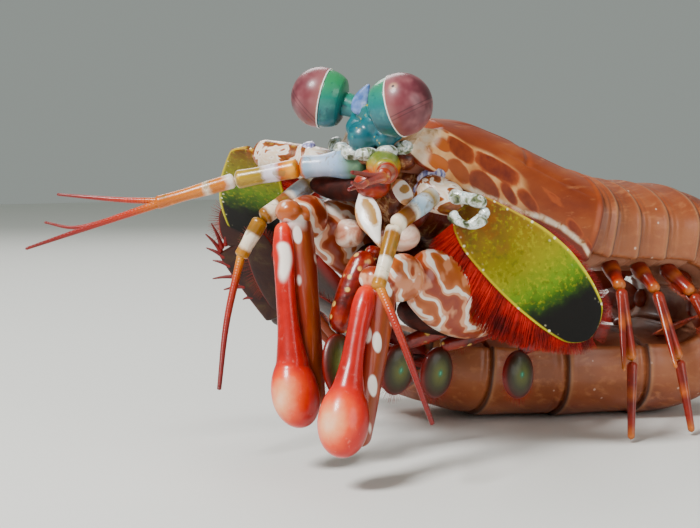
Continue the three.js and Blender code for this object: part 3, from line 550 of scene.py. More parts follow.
def growBristles(name, roots, aims, lean, sizes, finish, slotName, thickness=0.03, bend=0.1, variation=0.2):
    aims = unit(aims)
    sizes = np.broadcast_to(sizes, len(roots))
    mesh = bpy.data.meshes.new(name + "Roots")
    mesh.from_pydata(toMetres(roots).tolist(), [], [])
    for key, values in (("aim", aims), ("lean", np.broadcast_to(lean, aims.shape))):
        layer = mesh.attributes.new(key, "FLOAT_VECTOR", "POINT")
        layer.data.foreach_set("vector", np.asarray(values, np.float32).ravel())
    layer = mesh.attributes.new("size", "FLOAT", "POINT")
    layer.data.foreach_set("value", np.asarray(sizes, np.float32) * 0.001)
    obj = bpy.data.objects.new(name + "Roots", mesh)
    bpy.context.collection.objects.link(obj)
    grow = obj.modifiers.new("grow", "NODES")
    grow.node_group = bristleTree
    wanted = {"Thickness": thickness, "Bend": bend, "Variation": variation, "Finish": finish}
    for item in bristleTree.interface.items_tree:
        if item.item_type == "SOCKET" and item.in_out == "INPUT" and item.name in wanted:
            grow[item.identifier] = wanted[item.name]
    made = bakeModifiers(obj, name)
    made.data.shade_smooth()
    layoutBristles(made.data, len(roots))
    return install(made, finish, slotName)


def layoutBristles(mesh, count):  # each bristle takes a small patch of the map at its root's place
    each = len(mesh.vertices) // count
    table = mesh.uv_layers.new(name="OFBake")
    corner = np.zeros(len(mesh.loops), int)
    mesh.loops.foreach_get("vertex_index", corner)
    bristle, inside = corner // each, corner % each
    spots = np.zeros((len(corner), 2))
    spots[:, 0] = 0.01 + 0.97 * (bristle + 0.5) / count + 0.003 * (inside / each)
    spots[:, 1] = 0.2 + 0.6 * ((bristle * 0.618) % 1.0) + 0.003 * (inside % 2)
    table.data.foreach_set("uv", spots.astype(np.float32).ravel())


def markPoints(obj, **marks):  # one value for each point of a finished mesh
    for key, value in marks.items():
        values = np.broadcast_to(value, len(obj.data.vertices)).astype(np.float32)
        obj.data.attributes.new(key, "FLOAT", "POINT").data.foreach_set("value", values)


print("tools ready")


# Eyes

eyeShape = {"radius": 3.95, "border": -0.7, "rimHalf": 0.085, "tall": 1.03}
eyePlaces = {
    "left": {
        "centre": (10.0, -4.7, 47.3), "axis": (0.93, 0.25, 0.23), "band": (0.34, 0.28, -0.9), "bandAt": 1.1,
        "pupil": (10.99, -7.87, 49.44), "cup": 2.5,
    },
    "right": {
        "centre": (-3.9, -4.7, 48.7), "axis": (-0.85, -0.47, 0.22), "band": (-0.70, -0.30, -0.65),
        "bandAt": 2.0, "pupil": (-1.07, -7.24, 49.77), "cup": 2.2,
    },
}
eyeBaseShape = {
    "foot": (4.0, -2.4, 41.8), "top": (2.9, -2.0, 48.2),
    "bumps": (
        (1.4, -3.3, 44.6, 1.6), (4.4, -3.4, 45.0, 1.7), (5.8, -3.0, 43.2, 1.6), (2.2, -2.9, 48.2, 1.1),
        (2.9, -4.0, 43.2, 2.1), (2.9, -3.2, 46.8, 1.7), (1.6, -2.8, 46.2, 1.4), (6.9, -2.4, 44.0, 1.4),
    ),
}


def corneaFinish(side):
    place = eyePlaces[side]
    skin = Finish("cornea" + side.title(), roughness=0.36, coat=0.15, coatRoughness=0.12, shine=0.35)
    centre = toMetres(place["centre"])

    def heightAbove(normal, at):
        n = unit(normal)
        dot = skin.add("ShaderNodeVectorMath", {0: skin.place(), 1: tuple(n)}, operation="DOT_PRODUCT")
        return skin.math("MULTIPLY_ADD", dot.outputs["Value"], 1000.0, float(-1000.0 * (centre @ n) - at))

    # Lighter by the border and darker towards the pole: painted shade that darkens the eye towards its outer
    # edge
    base = skin.ramp(skin.value("cap"), "0.0 b88a70, 0.06 8c5250, 0.3 74343a, 0.7 602630, 1.0 481820")
    base = skin.blend(skin.patches(2.4, 2.0, 0.35, 0.7), base, "8a5054")
    across = heightAbove(place["band"], place["bandAt"])
    for offset, width, dark in ((-0.22, 0.1, 0.55), (0.25, 0.1, 0.45)):
        near = skin.math("ABSOLUTE", skin.math("SUBTRACT", across, offset))
        line = skin.rest(skin.step(near, width * 0.4, width))
        base = skin.blend(skin.times(line, dark), base, "35131c")
    away = skin.add(
        "ShaderNodeVectorMath", {0: skin.place(), 1: tuple(toMetres(place["pupil"]))}, operation="DISTANCE"
    )
    spot = skin.times(away.outputs["Value"], 1000.0)
    glint = skin.rest(skin.step(spot, 0.2, 0.8))
    base = skin.blend(skin.times(glint, 0.55), base, "d0a078")
    base = skin.blend(skin.rest(skin.step(spot, 0.14, 0.26)), base, "2a0f14")
    facets = skin.cells(0.16, "DISTANCE_TO_EDGE", random=0.3)
    return skin.done(base, skin.relief(facets, 0.12, 0.05))


def tealFinish():
    skin = Finish("stalkTeal", roughness=0.34, coat=0.3, flesh=0.1, shine=0.4)
    high = skin.add("ShaderNodeSeparateXYZ", {0: skin.place()}).outputs["Z"]
    tall = skin.step(high, 0.0435, 0.0515)
    base = skin.ramp(tall, "0.0 145a66, 0.35 0c6a6e, 0.7 107a66, 1.0 1e844c")
    base = skin.blend(skin.times(skin.patches(1.6, 4.0, 0.56, 0.8), 0.6), base, "4c9c94")
    base = skin.blend(skin.patches(0.9, 4.0, 0.6, 0.75, wobble=0.6), base, "083444")
    base = skin.blend(skin.value("rim"), base, "f3efe9")
    base = skin.blend(
        skin.value("flap"), base, skin.ramp(skin.noise(1.2, 3.0), "0.35 4468a8, 0.55 7490c8, 0.7 a8b8dc")
    )
    gold = skin.step(skin.times(skin.noise(0.8, 2.0), skin.value("gold")), 0.66, 0.72)
    base = skin.blend(gold, base, "a8944a")
    return skin.done(base, skin.grain(0.8, 4.0, 0.25, 0.2))


stalkFinish = tealFinish()


def ringGrid(centre, axis, stops, tall=1.0, columns=64):  # surface of turning about an axis
    axis = unit(axis)
    x = unit(np.cross(axis, (0, 0, 1)))
    z = np.cross(x, axis)
    turn = angles(columns)
    stops = np.asarray(stops, float)
    ring = x[None, None] * np.cos(turn)[None, :, None] + tall * z[None, None] * np.sin(turn)[None, :, None]
    return np.asarray(centre) + axis * stops[:, 0][:, None, None] + ring * stops[:, 1][:, None, None]


def buildEyes():
    for side, place in eyePlaces.items():
        centre, axis = np.array(place["centre"]), unit(place["axis"])
        radius, border, rimHalf = (eyeShape[key] for key in ("radius", "border", "rimHalf"))
        bend = np.linspace(math.acos(border / radius), 0.01, 44)
        stops = np.stack([radius * np.cos(bend), radius * np.sin(bend)], 1)
        stops = np.vstack([[border, stops[0, 1] * 0.6], stops])
        cap = np.clip((stops[:, 0] - border) / (radius - border), 0, 1)
        cornea = Shape()
        cornea.addGrid(ringGrid(centre, axis, stops, eyeShape["tall"]), cap=cap[:, None])
        cornea.install("cornea" + side.title(), corneaFinish(side), "cornea", "cornea_" + side)

        stalk = Shape()
        t = np.linspace(0, 1, 22)[:, None]
        edge = math.sqrt(radius ** 2 - border ** 2)
        back = np.hstack([border - 0.1 - place["cup"] * t, edge * (0.985 - 0.06 * t - 0.14 * t ** 2.5)])
        bend = t * np.pi / 2
        heel = np.hstack(
            [border - 0.12 - place["cup"] - 0.5 * np.sin(bend), edge * 0.74 * np.cos(bend) ** 0.8]
        )
        stalk.addGrid(ringGrid(centre, axis, np.vstack([back, heel[1:-1]]), eyeShape["tall"]))
        turn = angles(12)
        rim = np.stack([border + 0.02 + rimHalf * np.cos(turn), edge + rimHalf * np.sin(turn)], 1)
        ringed = ringGrid(centre, axis, np.vstack([rim, rim[:1]]), eyeShape["tall"])
        stalk.addGrid(np.swapaxes(ringed, 0, 1)[:, :-1], caps=(False, False), rim=1.0)
        lastRow = np.swapaxes(ringed, 0, 1)[[-1, 0], :-1]
        stalk.addGrid(lastRow, caps=(False, False), rim=1.0)
        root = np.array(eyeBaseShape["foot"]) * 0.28 + np.array(eyeBaseShape["top"]) * 0.72
        addLimb(
            stalk, [centre - axis * (place["cup"] + 0.2), root], [1.9, 1.5, 1.5], [1.9, 1.5, 1.5], (0, 0, 1),
            rows=16
        )
        stalk.install("eyestalk" + side.title(), stalkFinish, "eye_teal", "eyestalk_" + side)

    base = Shape()
    foot, top = np.array(eyeBaseShape["foot"]), np.array(eyeBaseShape["top"])
    addLimb(base, [foot, (foot + top) / 2, top], [2.9, 2.5, 2.0], [1.9, 2.1, 1.6], (1, 0, 0))
    for *at, size in eyeBaseShape["bumps"]:
        addBall(base, at, (size, size, size))
    body = fuse(base, "eyeBase", 0.2, 14)
    markPoints(body, rim=0.0, flap=0.0, gold=1.0)
    install(body, stalkFinish, "eye_teal", "eye_base")
    flap = Shape()
    addLimb(
        flap, [(2.6, -4.6, 46.2), (3.0, -4.5, 48.2), (4.0, -4.0, 50.2)], [1.0, 1.1, 0.75, 0.15],
        [0.5, 0.45, 0.3, 0.15], (1, 0.5, 0), marks={"flap": 1.0}, rows=24
    )
    flap.install("eyeFlap", stalkFinish, "eye_teal")


buildEyes()
print("eyes done")


# Shell of the back

backShape = {
    "carapaceFrom": 2.6, "carapaceTo": 37.2, "marginAt": 2.26, "marginLip": 0.45, "underTuck": 0.8,
    "cheekForward": 2.6,
    "thorax": (37.4, 41, 46.6, 52.8, 59.6), "abdomen": (59.6, 72.2, 84.8, 97.4, 110, 122.4, 135),
    "ringMargins": {"thorax": 2.05, "abdomen": 2.2}, "ringLap": 0.7, "ringGap": 0.12,
}
# Blotches on the side of the carapace: length along the body, angle from the middle of the back,
# half length, half width, tilt in degrees and how dark.
blotches = [
    (3.9, 84, 1.1, 0.6, 30, 0.5), (3.5, 107, 0.6, 0.5, 0, 0.9), (4.8, 96, 1.3, 0.8, 4, 0.8),
    (7.5, 93, 2.5, 1.0, 6, 0.1), (14.6, 91, 4.9, 1.0, 0, 0.0), (5.4, 114, 1.5, 1.5, 0, 1.0),
    (8.4, 110, 2.3, 1.45, 37, 0.45), (13.4, 110, 3.6, 2.1, 16, 0.1), (18.3, 103.5, 2.4, 0.95, 27, 0.0),
    (22.3, 100, 2.8, 1.0, 14, 0.1),
    (26.4, 90, 1.9, 0.22, 7, 0.0), (32.4, 102, 2.2, 0.85, 20, 0.0), (36.2, 113, 1.7, 0.45, 51, 0.0),
]


def shellFinish():
    skin = Finish("backShell", roughness=0.38, coat=0.15, coatRoughness=0.18, flesh=0.05, shine=0.35)
    mottled = skin.noise(7.0, 4.0, skin.place((1, 0.45, 1)))
    base = skin.ramp(mottled, "0.3 6e2c10, 0.5 8e4420, 0.68 a0582e")
    streaks = skin.noise(1.5, 4.0, skin.place((1.4, 0.22, 1.4)))
    base = skin.blend(skin.step(streaks, 0.5, 0.72), base, "a86238")
    side = skin.step(skin.value("side"), 0.9, 1.6)
    base = skin.blend(skin.times(side, 0.4), base, "a86a44")
    specks = skin.rest(skin.step(skin.cells(2.6), 0.05, 0.1))
    base = skin.blend(skin.times(specks, 0.5), base, "f2d9c4")
    base = skin.blend(skin.times(skin.value("edge"), 0.9), base, "45342f")
    base = skin.blend(skin.times(skin.value("pale"), 0.5), base, "c08a60")
    base = skin.blend(skin.value("under"), base, skin.ramp(mottled, "0.35 7c3c24, 0.5 a06a50, 0.65 b8846a"))
    fine = skin.grain(0.5, 4.0, 0.12, 0.12)
    return skin.done(base, skin.relief(streaks, 0.18, 0.3, fine))


def carapaceFinish():
    skin = Finish("carapaceShell", roughness=0.4, coat=0.1, coatRoughness=0.16, flesh=0.03, shine=0.3)
    wobble = skin.waver(1.3, 3.0, 0.3, -0.13)
    inside = skin.plus(skin.value("blotch"), wobble)
    net = skin.ramp(skin.noise(3.5, 3.0), "0.3 f0c088, 0.55 e29c58, 0.75 c06a2c")
    plain = skin.ramp(skin.noise(6.0, 4.0, skin.place((1, 0.4, 1))), "0.3 74270a, 0.52 8e3a10, 0.7 a4501c")
    plain = skin.blend(
        skin.step(skin.noise(1.2, 3.0, skin.place((1.5, 0.2, 1.5))), 0.58, 0.8), plain, "b4683a"
    )
    base = skin.blend(skin.value("netting"), plain, net)
    spot = skin.ramp(skin.noise(1.8, 3.0), "0.3 6e1c02, 0.6 8a3004, 0.8 9c440a")
    spot = skin.blend(skin.value("bright"), spot, "c4600c")
    rim = skin.blend(skin.step(inside, 0.0, 0.3), "b4501c", spot)
    base = skin.blend(skin.step(inside, -0.1, 0.12), base, rim)
    pale = skin.ramp(skin.noise(1.7, 4.0, wobble=0.5), "0.36 9c6434, 0.48 ecc8a0, 0.62 f6e4cc")
    base = skin.blend(skin.value("white"), base, pale)
    base = skin.blend(skin.value("redBand"), base, "7a2610")
    base = skin.blend(skin.value("edge"), base, "6b3a2c")
    base = skin.blend(skin.value("under"), base, "9c6a58")
    fine = skin.grain(0.45, 4.0, 0.1, 0.1)
    return skin.done(base, fine)


def buildCarapace():
    start, end, margin = backShape["carapaceFrom"], backShape["carapaceTo"], backShape["marginAt"]
    front, rear = start + 1.2 * np.linspace(0, 1, 10) ** 2, end - 0.5 + 0.5 * np.linspace(0.15, 1, 7)
    lengths = np.concatenate([front, np.linspace(start + 1.4, end - 0.5, 130), rear])

    def swell(s, turn):
        lip = backShape["marginLip"] * bump(turn - margin + 0.08, 0.13)
        tuck = -backShape["underTuck"] * ease(turn, margin, margin + 0.1)
        groove = -0.28 * bump(turn - 0.62, 0.05) * ease(s, 6, 12) * (1 - ease(s, 30, 35))
        groove = groove - 0.2 * bump(turn - 1.22, 0.05) * ease(s, 14, 20) * (1 - ease(s, 33, 36))
        neck = -0.25 * bump(s - 24 + 2.5 * turn, 0.7) * (turn < 1.3)
        front = -1.6 * (1 - ease(s, start, start + 1.4)) ** 2
        rear = 0.22 * ease(s, end - 1.6, end - 0.7) - 0.75 * ease(s, end - 0.35, end)
        return lip + tuck + groove + neck + front + rear

    grid, turn = bodyGrid(lengths, 200, swell)
    s = lengths[:, None]
    girth = 10.5
    forward = backShape["cheekForward"] * (1 - ease(s, start, 10)) * ease(turn, 1.15, 1.95)
    grid = grid - bodyAt(lengths)[1][:, None] * forward[..., None]
    blotch = np.full(grid.shape[:2], -3.0)
    bright = np.zeros_like(blotch)
    for at, around, long, wide, tilt, glow in blotches:
        ds, dt = s - at, (turn - math.radians(around)) * girth
        c, d = math.cos(math.radians(tilt)), math.sin(math.radians(tilt))
        reach = (
            np.abs((ds * c + dt * d) / long) ** 2.4 + np.abs((dt * c - ds * d) / wide) ** 2.4
        ) ** (1 / 2.4)
        inside = (1 - reach) * min(long, wide)
        bright = np.where(inside > blotch, glow, bright)
        blotch = np.maximum(blotch, inside)
    top = np.radians(np.interp(s, [3, 8, 13, 18, 22, 26], [80, 86, 83, 86, 94, 106]))
    netting = ease(turn, top - 0.05, top + 0.07) * (1 - ease(s, 20.5, 24))
    line = np.radians(np.interp(s, [10, 16, 22, 25.6, 30, 35, 36.6], [121, 117, 113, 107, 106, 112, 120]))
    white = np.exp(-((turn - line) / 0.05) ** 4) * ease(s, 9, 12)
    white = np.maximum(white, 0.85 * ease(turn, 1.35, 1.6) * (1 - ease(s, 3.0, 4.6)))
    redBand = ease(turn, line + 0.05, line + 0.09) * (1 - ease(turn, margin + 0.02, margin + 0.08))
    shape = Shape()
    shape.addGrid(
        grid, blotch=blotch, bright=bright, netting=netting, white=white * (turn < margin), redBand=redBand,
        edge=0.8 * bump(s - end + 0.5, 0.22) * (turn < margin),
        under=ease(turn, margin + 0.04, margin + 0.1),
    )
    shape.install("carapaceShell", carapaceFinish(), "carapace", "carapace")

    plate = Shape()
    _, _, up, side, _ = (v[0] for v in bodyAt(3.4))
    root, tip = bodyPoint(3.4, 0, 1.9), bodyPoint(3.4, 0, 2.5, -5.2)
    addLimb(
        plate, [root, (root + tip) / 2 + 0.25 * up, tip], [2.7, 2.6, 2.2, 1.3, 0.5],
        [0.5, 0.6, 0.55, 0.45, 0.3], side, rows=30
    )
    zero = np.zeros(plate.count)
    plate.values.update(
        blotch=zero - 3, bright=zero, netting=zero + 0.3, white=zero, redBand=zero, edge=zero, under=zero
    )
    plate.install("rostralPlate", bpy.data.materials["carapaceShell"], "carapace", "rostral_plate")


def buildRings():
    finish = shellFinish()
    for kind, first in (("thorax", 5), ("abdomen", 1)):
        ends = backShape[kind]
        for k in range(len(ends) - 1):
            shape = Shape()
            start, end = ends[k] - backShape["ringLap"], ends[k + 1] - backShape["ringGap"]
            if kind == "thorax" and k == 0:
                start = ends[0] - 0.3
            rows = 40 if end - start > 8 else 22
            lengths = np.concatenate(
                [np.linspace(start, end - 0.35, rows), end - 0.35 + 0.35 * np.linspace(0.12, 1, 7)]
            )
            margin = backShape["ringMargins"][kind]

            def swell(s, turn):
                share = (s - start) / (end - start)
                tucked = -0.55 * (1 - ease(s, start, start + 1.5))
                flare = 0.3 * ease(share, 0.45, 0.95)
                ridge = 0.1 * bump(s - end + 0.9, 0.2) - 0.12 * bump(s - start - 2.0, 0.25)
                lip = 0.3 * bump(turn - margin + 0.08, 0.12)
                under = -0.6 * ease(turn, margin, margin + 0.1)
                close = -0.8 * ease(s, end - 0.3, end)
                return tucked + flare + ridge + lip + under + close

            grid, turn = bodyGrid(lengths, 132, swell)
            grid[..., 2] = np.maximum(grid[..., 2], 0.0)  # flat where it rests on the floor
            s = lengths[:, None]
            shape.addGrid(
                grid, side=turn, edge=bump(s - end + 0.3, 0.2) * (turn < margin),
                pale=bump(s - end + 0.75, 0.18) * (turn < margin),
                under=ease(turn, margin + 0.05, margin + 0.12),
            )
            name = "%s%d" % (kind, first + k)
            shape.install(name + "Shell", finish, "shell", "%s_%d" % (kind, first + k))


buildCarapace()
buildRings()
print("back done")


# Face, mouth and breast

headShape = {
    "face": (3.1, -1.2, 38.4), "nape": (3.6, 17.5, 29.8), "mouthTop": (3.1, 5.5, 31),
    "mouth": (3.0, 1.0, 26.4),
    "breastFront": (3.6, 16.5, 27.6), "breastRear": (7.4, 38.5, 24.2),
    "bumps": (
        ((0.4, -2.6, 41.0), (1.6, 1.3, 1.3)), ((5.6, -3.2, 40.4), (1.7, 1.3, 1.2)),
        ((3.0, -3.4, 40.6), (1.5, 1.0, 1.0)), ((7.4, -0.6, 40.2), (1.5, 1.6, 1.4)),
        ((-1.2, 0.2, 40.6), (1.6, 1.6, 1.4)), ((3.2, -2.0, 34.4), (2.4, 1.4, 1.8)),
        ((6.6, 2.0, 33.4), (2.0, 2.2, 2.4)), ((-0.6, 2.0, 34.0), (2.0, 2.2, 2.4)),
        ((3.1, 0.8, 30.0), (2.2, 1.6, 1.8)),
    ),
}


def faceFinish():
    skin = Finish("face", roughness=0.4, coat=0.2, flesh=0.1, shine=0.35)
    patches = skin.noise(2.6, 4.0, wobble=0.8)
    base = skin.ramp(
        patches, "0.3 2c0c04, 0.42 5c2008, 0.49 7c3c12, 0.54 b48c60, 0.6 7c3c10, 0.7 3c1004, 0.85 985008"
    )
    base = skin.blend(skin.patches(5.0, 2.0, 0.5, 0.62), base, "701a08")
    return skin.done(base, skin.grain(0.9, 4.0, 0.5, 0.5))


def buildHead():
    breastFinish = mottledFinish(
        "breast", "0.3 8a3b24, 0.5 b9694a, 0.65 dcae95, 0.8 efdccd", (3.0, 4.0, 0.5), (0.3, 0.3, (0.8, 4.0)),
        roughness=0.4, coat=0.3, flesh=0.2)
    shape = Shape()
    addLimb(
        shape, [headShape["face"], headShape["nape"]], [3.6, 5.6, 6.1, 6.2, 5.6], [2.8, 4.8, 5.3, 5.4, 4.6],
        (1, 0, 0), rows=40, columns=32
    )
    addLimb(shape, [headShape["mouthTop"], headShape["mouth"]], [2.2, 2.4, 1.7], [2.4, 2.2, 1.3], (1, 0, 0))
    for at, size in headShape["bumps"]:
        addBall(shape, at, size)
    install(fuse(shape, "headBlock", 0.3, 3), faceFinish(), "face", "head")
    breast = Shape()
    addLimb(
        breast, [headShape["breastFront"], headShape["breastRear"]], [5.8, 6.8, 7.0, 6.6, 5.6],
        [4.0, 4.6, 4.6, 4.6, 4.0], (1, 0, 0), rows=40, columns=32
    )
    install(fuse(breast, "breastPlate", 0.4, 2), breastFinish, "belly", "breast")


# Small plates and lobes about the mouth: each has a finish, a smooth line of points and its widths.
faceDetails = {
    "lilacDome": (
        "lilac", ((-9.4, -0.2, 41.0), (-10.2, -1.8, 42.2)), (1.8, 2.3, 1.9), (1.6, 2.0, 1.7), (1, 0.4, 0)
    ),
    "clearDome": (
        "silver", ((-4.0, -0.6, 42.0), (-4.5, -2.0, 43.0)), (1.0, 1.3, 1.0), (1.0, 1.3, 1.0), (1, 0, 0)
    ),
    "lobeA": (
        "silver", ((-1.4, -2.6, 41.4), (-1.0, -4.4, 42.2)), (1.3, 1.2, 0.9), (1.0, 1.0, 0.8), (1, 0, 0)
    ),
    "lobeB": (
        "silver", ((1.0, -3.6, 41.0), (2.0, -5.4, 41.5)), (1.5, 1.6, 1.1), (1.0, 1.1, 0.8), (1, 0.3, 0)
    ),
    "lobeC": (
        "silver", ((3.6, -3.6, 40.8), (4.6, -5.6, 41.3)), (1.6, 1.7, 1.2), (0.9, 1.0, 0.7), (1, 0.3, 0)
    ),
    "lobeD": (
        "silver", ((6.0, -2.6, 41.2), (7.0, -4.2, 41.6)), (1.5, 1.5, 1.1), (0.9, 1.0, 0.8), (1, 0.6, 0)
    ),
    "lobeE": (
        "silver", ((7.4, -0.6, 41.6), (8.0, -2.2, 42.2)), (1.3, 1.4, 1.0), (1.0, 1.1, 0.8), (1, 0.8, 0)
    ),
    "platePale": (
        "diamond", ((3.2, -4.6, 37.4), (5.8, -6.6, 33.6), (8.8, -7.6, 29.0)),
        (0.05, 0.7, 1.5, 1.6, 0.8, 0.05), (0.4, 0.4, 0.45, 0.45, 0.4, 0.3), (0.77, 0.64, 0.4)
    ),
    "plateSide": (
        "diamond", ((7.6, -2.0, 37.6), (9.4, -3.6, 35.8), (10.8, -4.8, 34.6)), (0.7, 1.4, 1.3, 0.6),
        (0.5, 0.6, 0.6, 0.4), (0.77, 0.64, -0.5)
    ),
    "flapUpper": (
        "lilac", ((11.2, 3.2, 38.4), (9.8, 2.0, 38.3), (8.4, 0.6, 37.6)), (0.5, 0.9, 0.9, 0.4),
        (0.35, 0.4, 0.4, 0.25), (0.3, 0.3, 1)
    ),
    "flapLower": (
        "lilac", ((11.4, 2.6, 37.4), (9.8, 1.2, 37.0), (8.2, 0.0, 36.2)), (0.5, 0.9, 0.9, 0.4),
        (0.35, 0.4, 0.4, 0.25), (0.3, 0.3, 1)
    ),
    "mouthLobeRight": (
        "flesh", ((-2.2, 1.2, 31.8), (-3.4, -1.6, 28.8)), (2.0, 2.5, 1.7), (1.6, 1.9, 1.4), (1, 0.3, 0)
    ),
    "mouthLobeLeft": (
        "flesh", ((6.4, 1.6, 31.6), (7.0, -1.8, 28.6)), (1.8, 2.3, 1.6), (1.6, 1.8, 1.3), (1, 0.3, 0)
    ),
    # Jaw part widened into a dark mass in painted shade colour, filling the shadow behind the claws
    "jawRight": (
        "dark", ((-1.8, 4.8, 28.4), (-1.2, 1.6, 24.4), (0.4, 0.2, 21.0)), (2.2, 2.6, 2.5, 1.6),
        (1.8, 2.2, 2.1, 1.3), (1, 0.3, 0)
    ),
    "scaleLobeUpper": (
        "silver", ((12.8, 1.4, 35.6), (15.4, 2.0, 35.3), (17.6, 3.5, 34.6)), (0.9, 1.0, 0.8, 0.9, 0.7),
        (0.8, 0.8, 0.7, 0.7, 0.5), (0, 0, 1)
    ),
    "scaleLobeLower": (
        "silver",
        ((13.2, 1.4, 33.4), (14.6, 1.6, 32.2), (16.0, 2.2, 31.9), (17.2, 3.2, 32.8), (17.0, 3.6, 34.2)),
        (1.0, 0.7, 0.5, 0.8, 0.9, 0.6), (0.7, 0.5, 0.4, 0.5, 0.6, 0.5), (0.3, 0.3, 1)
    ),
    "redFold": (
        "ember", ((5.8, -2.4, 36.6), (5.2, -5.2, 37.2), (4.6, -7.4, 37.4)), (1.7, 2.2, 2.0, 1.5),
        (1.4, 1.9, 1.8, 1.2), (1, 0.8, 0)
    ),
    "cheekRight": (
        "dark", ((2.0, -2.2, 36.7), (-2.4, -2.6, 36.4), (-6.8, -3.4, 37.2)), (1.6, 1.7, 1.5, 0.9),
        (1.3, 1.4, 1.2, 0.8), (0, 0, 1)
    ),
    # Dark mass under the breast, in painted shade colour, filling the shadowed gap below the striking arm
    "breastShadeFold": (
        "dark", ((4.6, 2.4, 20.4), (5.2, 6.4, 19.2), (7.6, 14.0, 18.6), (8.4, 25.0, 17.4)),
        (2.0, 2.9, 3.4, 3.0, 1.8), (1.6, 2.8, 3.2, 3.0, 1.8), (1, 0, 0)
    ),
    # Jaw part widened into a dark mass in painted shade colour, filling the shadow between the claws
    "jawLeft": (
        "dark", ((6.4, 4.4, 28.0), (6.2, 1.0, 24.6), (5.0, -0.8, 22.2)), (2.2, 2.4, 2.2, 1.6),
        (2.0, 2.4, 2.2, 1.6), (1, 0.3, 0)
    ),
}


def detailFinishes():
    wet = {"flesh": 0.1, "shine": 0.4}
    finishes = {
        "lilac": mottledFinish(
            "lobeLilac", "0.34 5c5a88, 0.5 8a88b4, 0.62 d8d4e4, 0.75 6c4a6c",
            (1.0, 3.0, 0.4, (2.2, 2.2, 0.5)),
            (0.2, 0.2), roughness=0.24, coat=0.35, **wet),
        "silver": mottledFinish(
            "lobeSilver", "0.3 2c3420, 0.42 6c7450, 0.5 b4bcb0, 0.58 eef2ee, 0.66 9cb4b4, 0.8 8c7420",
            (1.3, 4.0, 1.0), (0.35, 0.4), roughness=0.2, coat=0.5, coatRoughness=0.05, **wet),
        "flesh": mottledFinish(
            "lobeFlesh", "0.3 a8583c, 0.45 d49c80, 0.58 f0d4c0, 0.75 c07c58", (3.0, 3.0, 0.8), (0.2, 0.3),
            roughness=0.3, coat=0.3, **wet),
        # dark: near-black painted shade for the pieces that fill the shadowed gaps under the head and behind
        # the claws
        "dark": mottledFinish(
            "jawPaintedShade", "0.3 1a0604, 0.5 340c04, 0.7 54180a", (2.2, 4.0, 0.6), (0.4, 0.4),
            roughness=0.6, coat=0.03, shine=0.2),
        "ember": mottledFinish(
            "foldEmber", "0.3 3c0c04, 0.46 8c1404, 0.6 a03004, 0.78 6c3408", (2.6, 3.0, 0.8), (0.3, 0.3),
            roughness=0.36, coat=0.2, flesh=0.1, shine=0.35),
    }
    skin = Finish("plateDiamond", roughness=0.3, coat=0.3, flesh=0.05, shine=0.4)
    apart = skin.plus(skin.value("oval"), skin.waver(0.9, 3.0, 0.3, -0.15))
    tones = skin.ramp(apart, "0.0 9a7434, 0.36 a87c3c, 0.46 f4ece0, 0.8 f8f2ea, 0.92 c88c54")
    finishes["diamond"] = skin.done(tones, skin.grain(0.5, 3.0, 0.15, 0.1))
    return finishes


def buildFaceDetails():
    finishes = detailFinishes()
    for name, (kind, line, wide, high, across) in faceDetails.items():
        grid = sweep(line, wide, high, across, rows=30, columns=28)[0]
        first, last = np.array(line[0]), np.array(line[-1])
        rel = grid - (first + last) / 2
        reach = np.linalg.norm(last - first) / 2
        lengthwise, sideways = rel @ unit(last - first), rel @ unit(across)
        shape = Shape()
        shape.addGrid(
            grid, oval=np.sqrt((lengthwise / (reach * 1.05)) ** 2 + (sideways / (max(wide) * 1.15)) ** 2)
        )
        shape.install(name, finishes[kind], "face")


buildHead()
buildFaceDetails()
print("head done")


# Feelers

antennuleShape = {
    "half": ((2.3, 1.5), (1.35, 1.2), (1.05, 0.85)),
    "right": {
        "joints": ((2.4, -1.6, 40.2), (-6.7, -5.7, 39.3), (-14.8, -10, 37.6), (-23.1, -17.2, 34.4)),
        "whips": (((-22.4, -16.6, 34.7), (-27.5, -20.0, 34.9), (-35.1, -24.6, 35.6)),
                  ((-22.4, -16.6, 34.5), (-25.7, -22.2, 32.4), (-31.5, -32.7, 28.5)),
                  ((-25.2, -21.3, 32.7), (-29.6, -25.6, 31.2), (-33, -28.4, 31.9))),
    },
    "left": {
        "joints": ((4.6, -1.8, 39.6), (10.9, -9.3, 38.7), (16.7, -16.2, 38.6), (21.4, -22.8, 38.3)),
        "whips": (((21, -22.3, 38.3), (24.8, -29.1, 38.3), (28.3, -36.6, 38.7)),
                  ((21, -22.3, 38.1), (25, -29, 37.9), (30.1, -39.2, 37)),
                  ((26.9, -32.6, 37.6), (29, -36.1, 37.3), (30.9, -39.7, 37.7))),
    },
    "whipHalf": ((0.5, 0.2), (0.6, 0.2), (0.4, 0.18)),
}
antennaShape = {
    "halves": ((1.3, 1.35, 1.15, 1.2), (1.15, 1.1, 0.95, 1.0)),
    "left": {"root": (7.6, 1.4, 36.6), "stub": (14.4, 2.8, 34.6),
             "joints": ((12.2, -0.6, 35.8), (12.1, -8.8, 32), (13.3, -13.8, 24.3)),
             "whip": ((13.2, -13.4, 25), (17.1, -13.8, 18.5), (20.4, -11.9, 8.2))},
    "right": {"root": (-2.2, 0.6, 38.6), "stub": (-18.2, -2.8, 41.6),
              "joints": ((-7.6, -1.6, 37.6), (-10.4, -9.4, 32.4), (-12.4, -11.6, 27.1)),
              "whip": ((-12.3, -11.4, 27.6), (-12.4, -14.2, 18.6), (-11, -17.1, 9.8))},
}


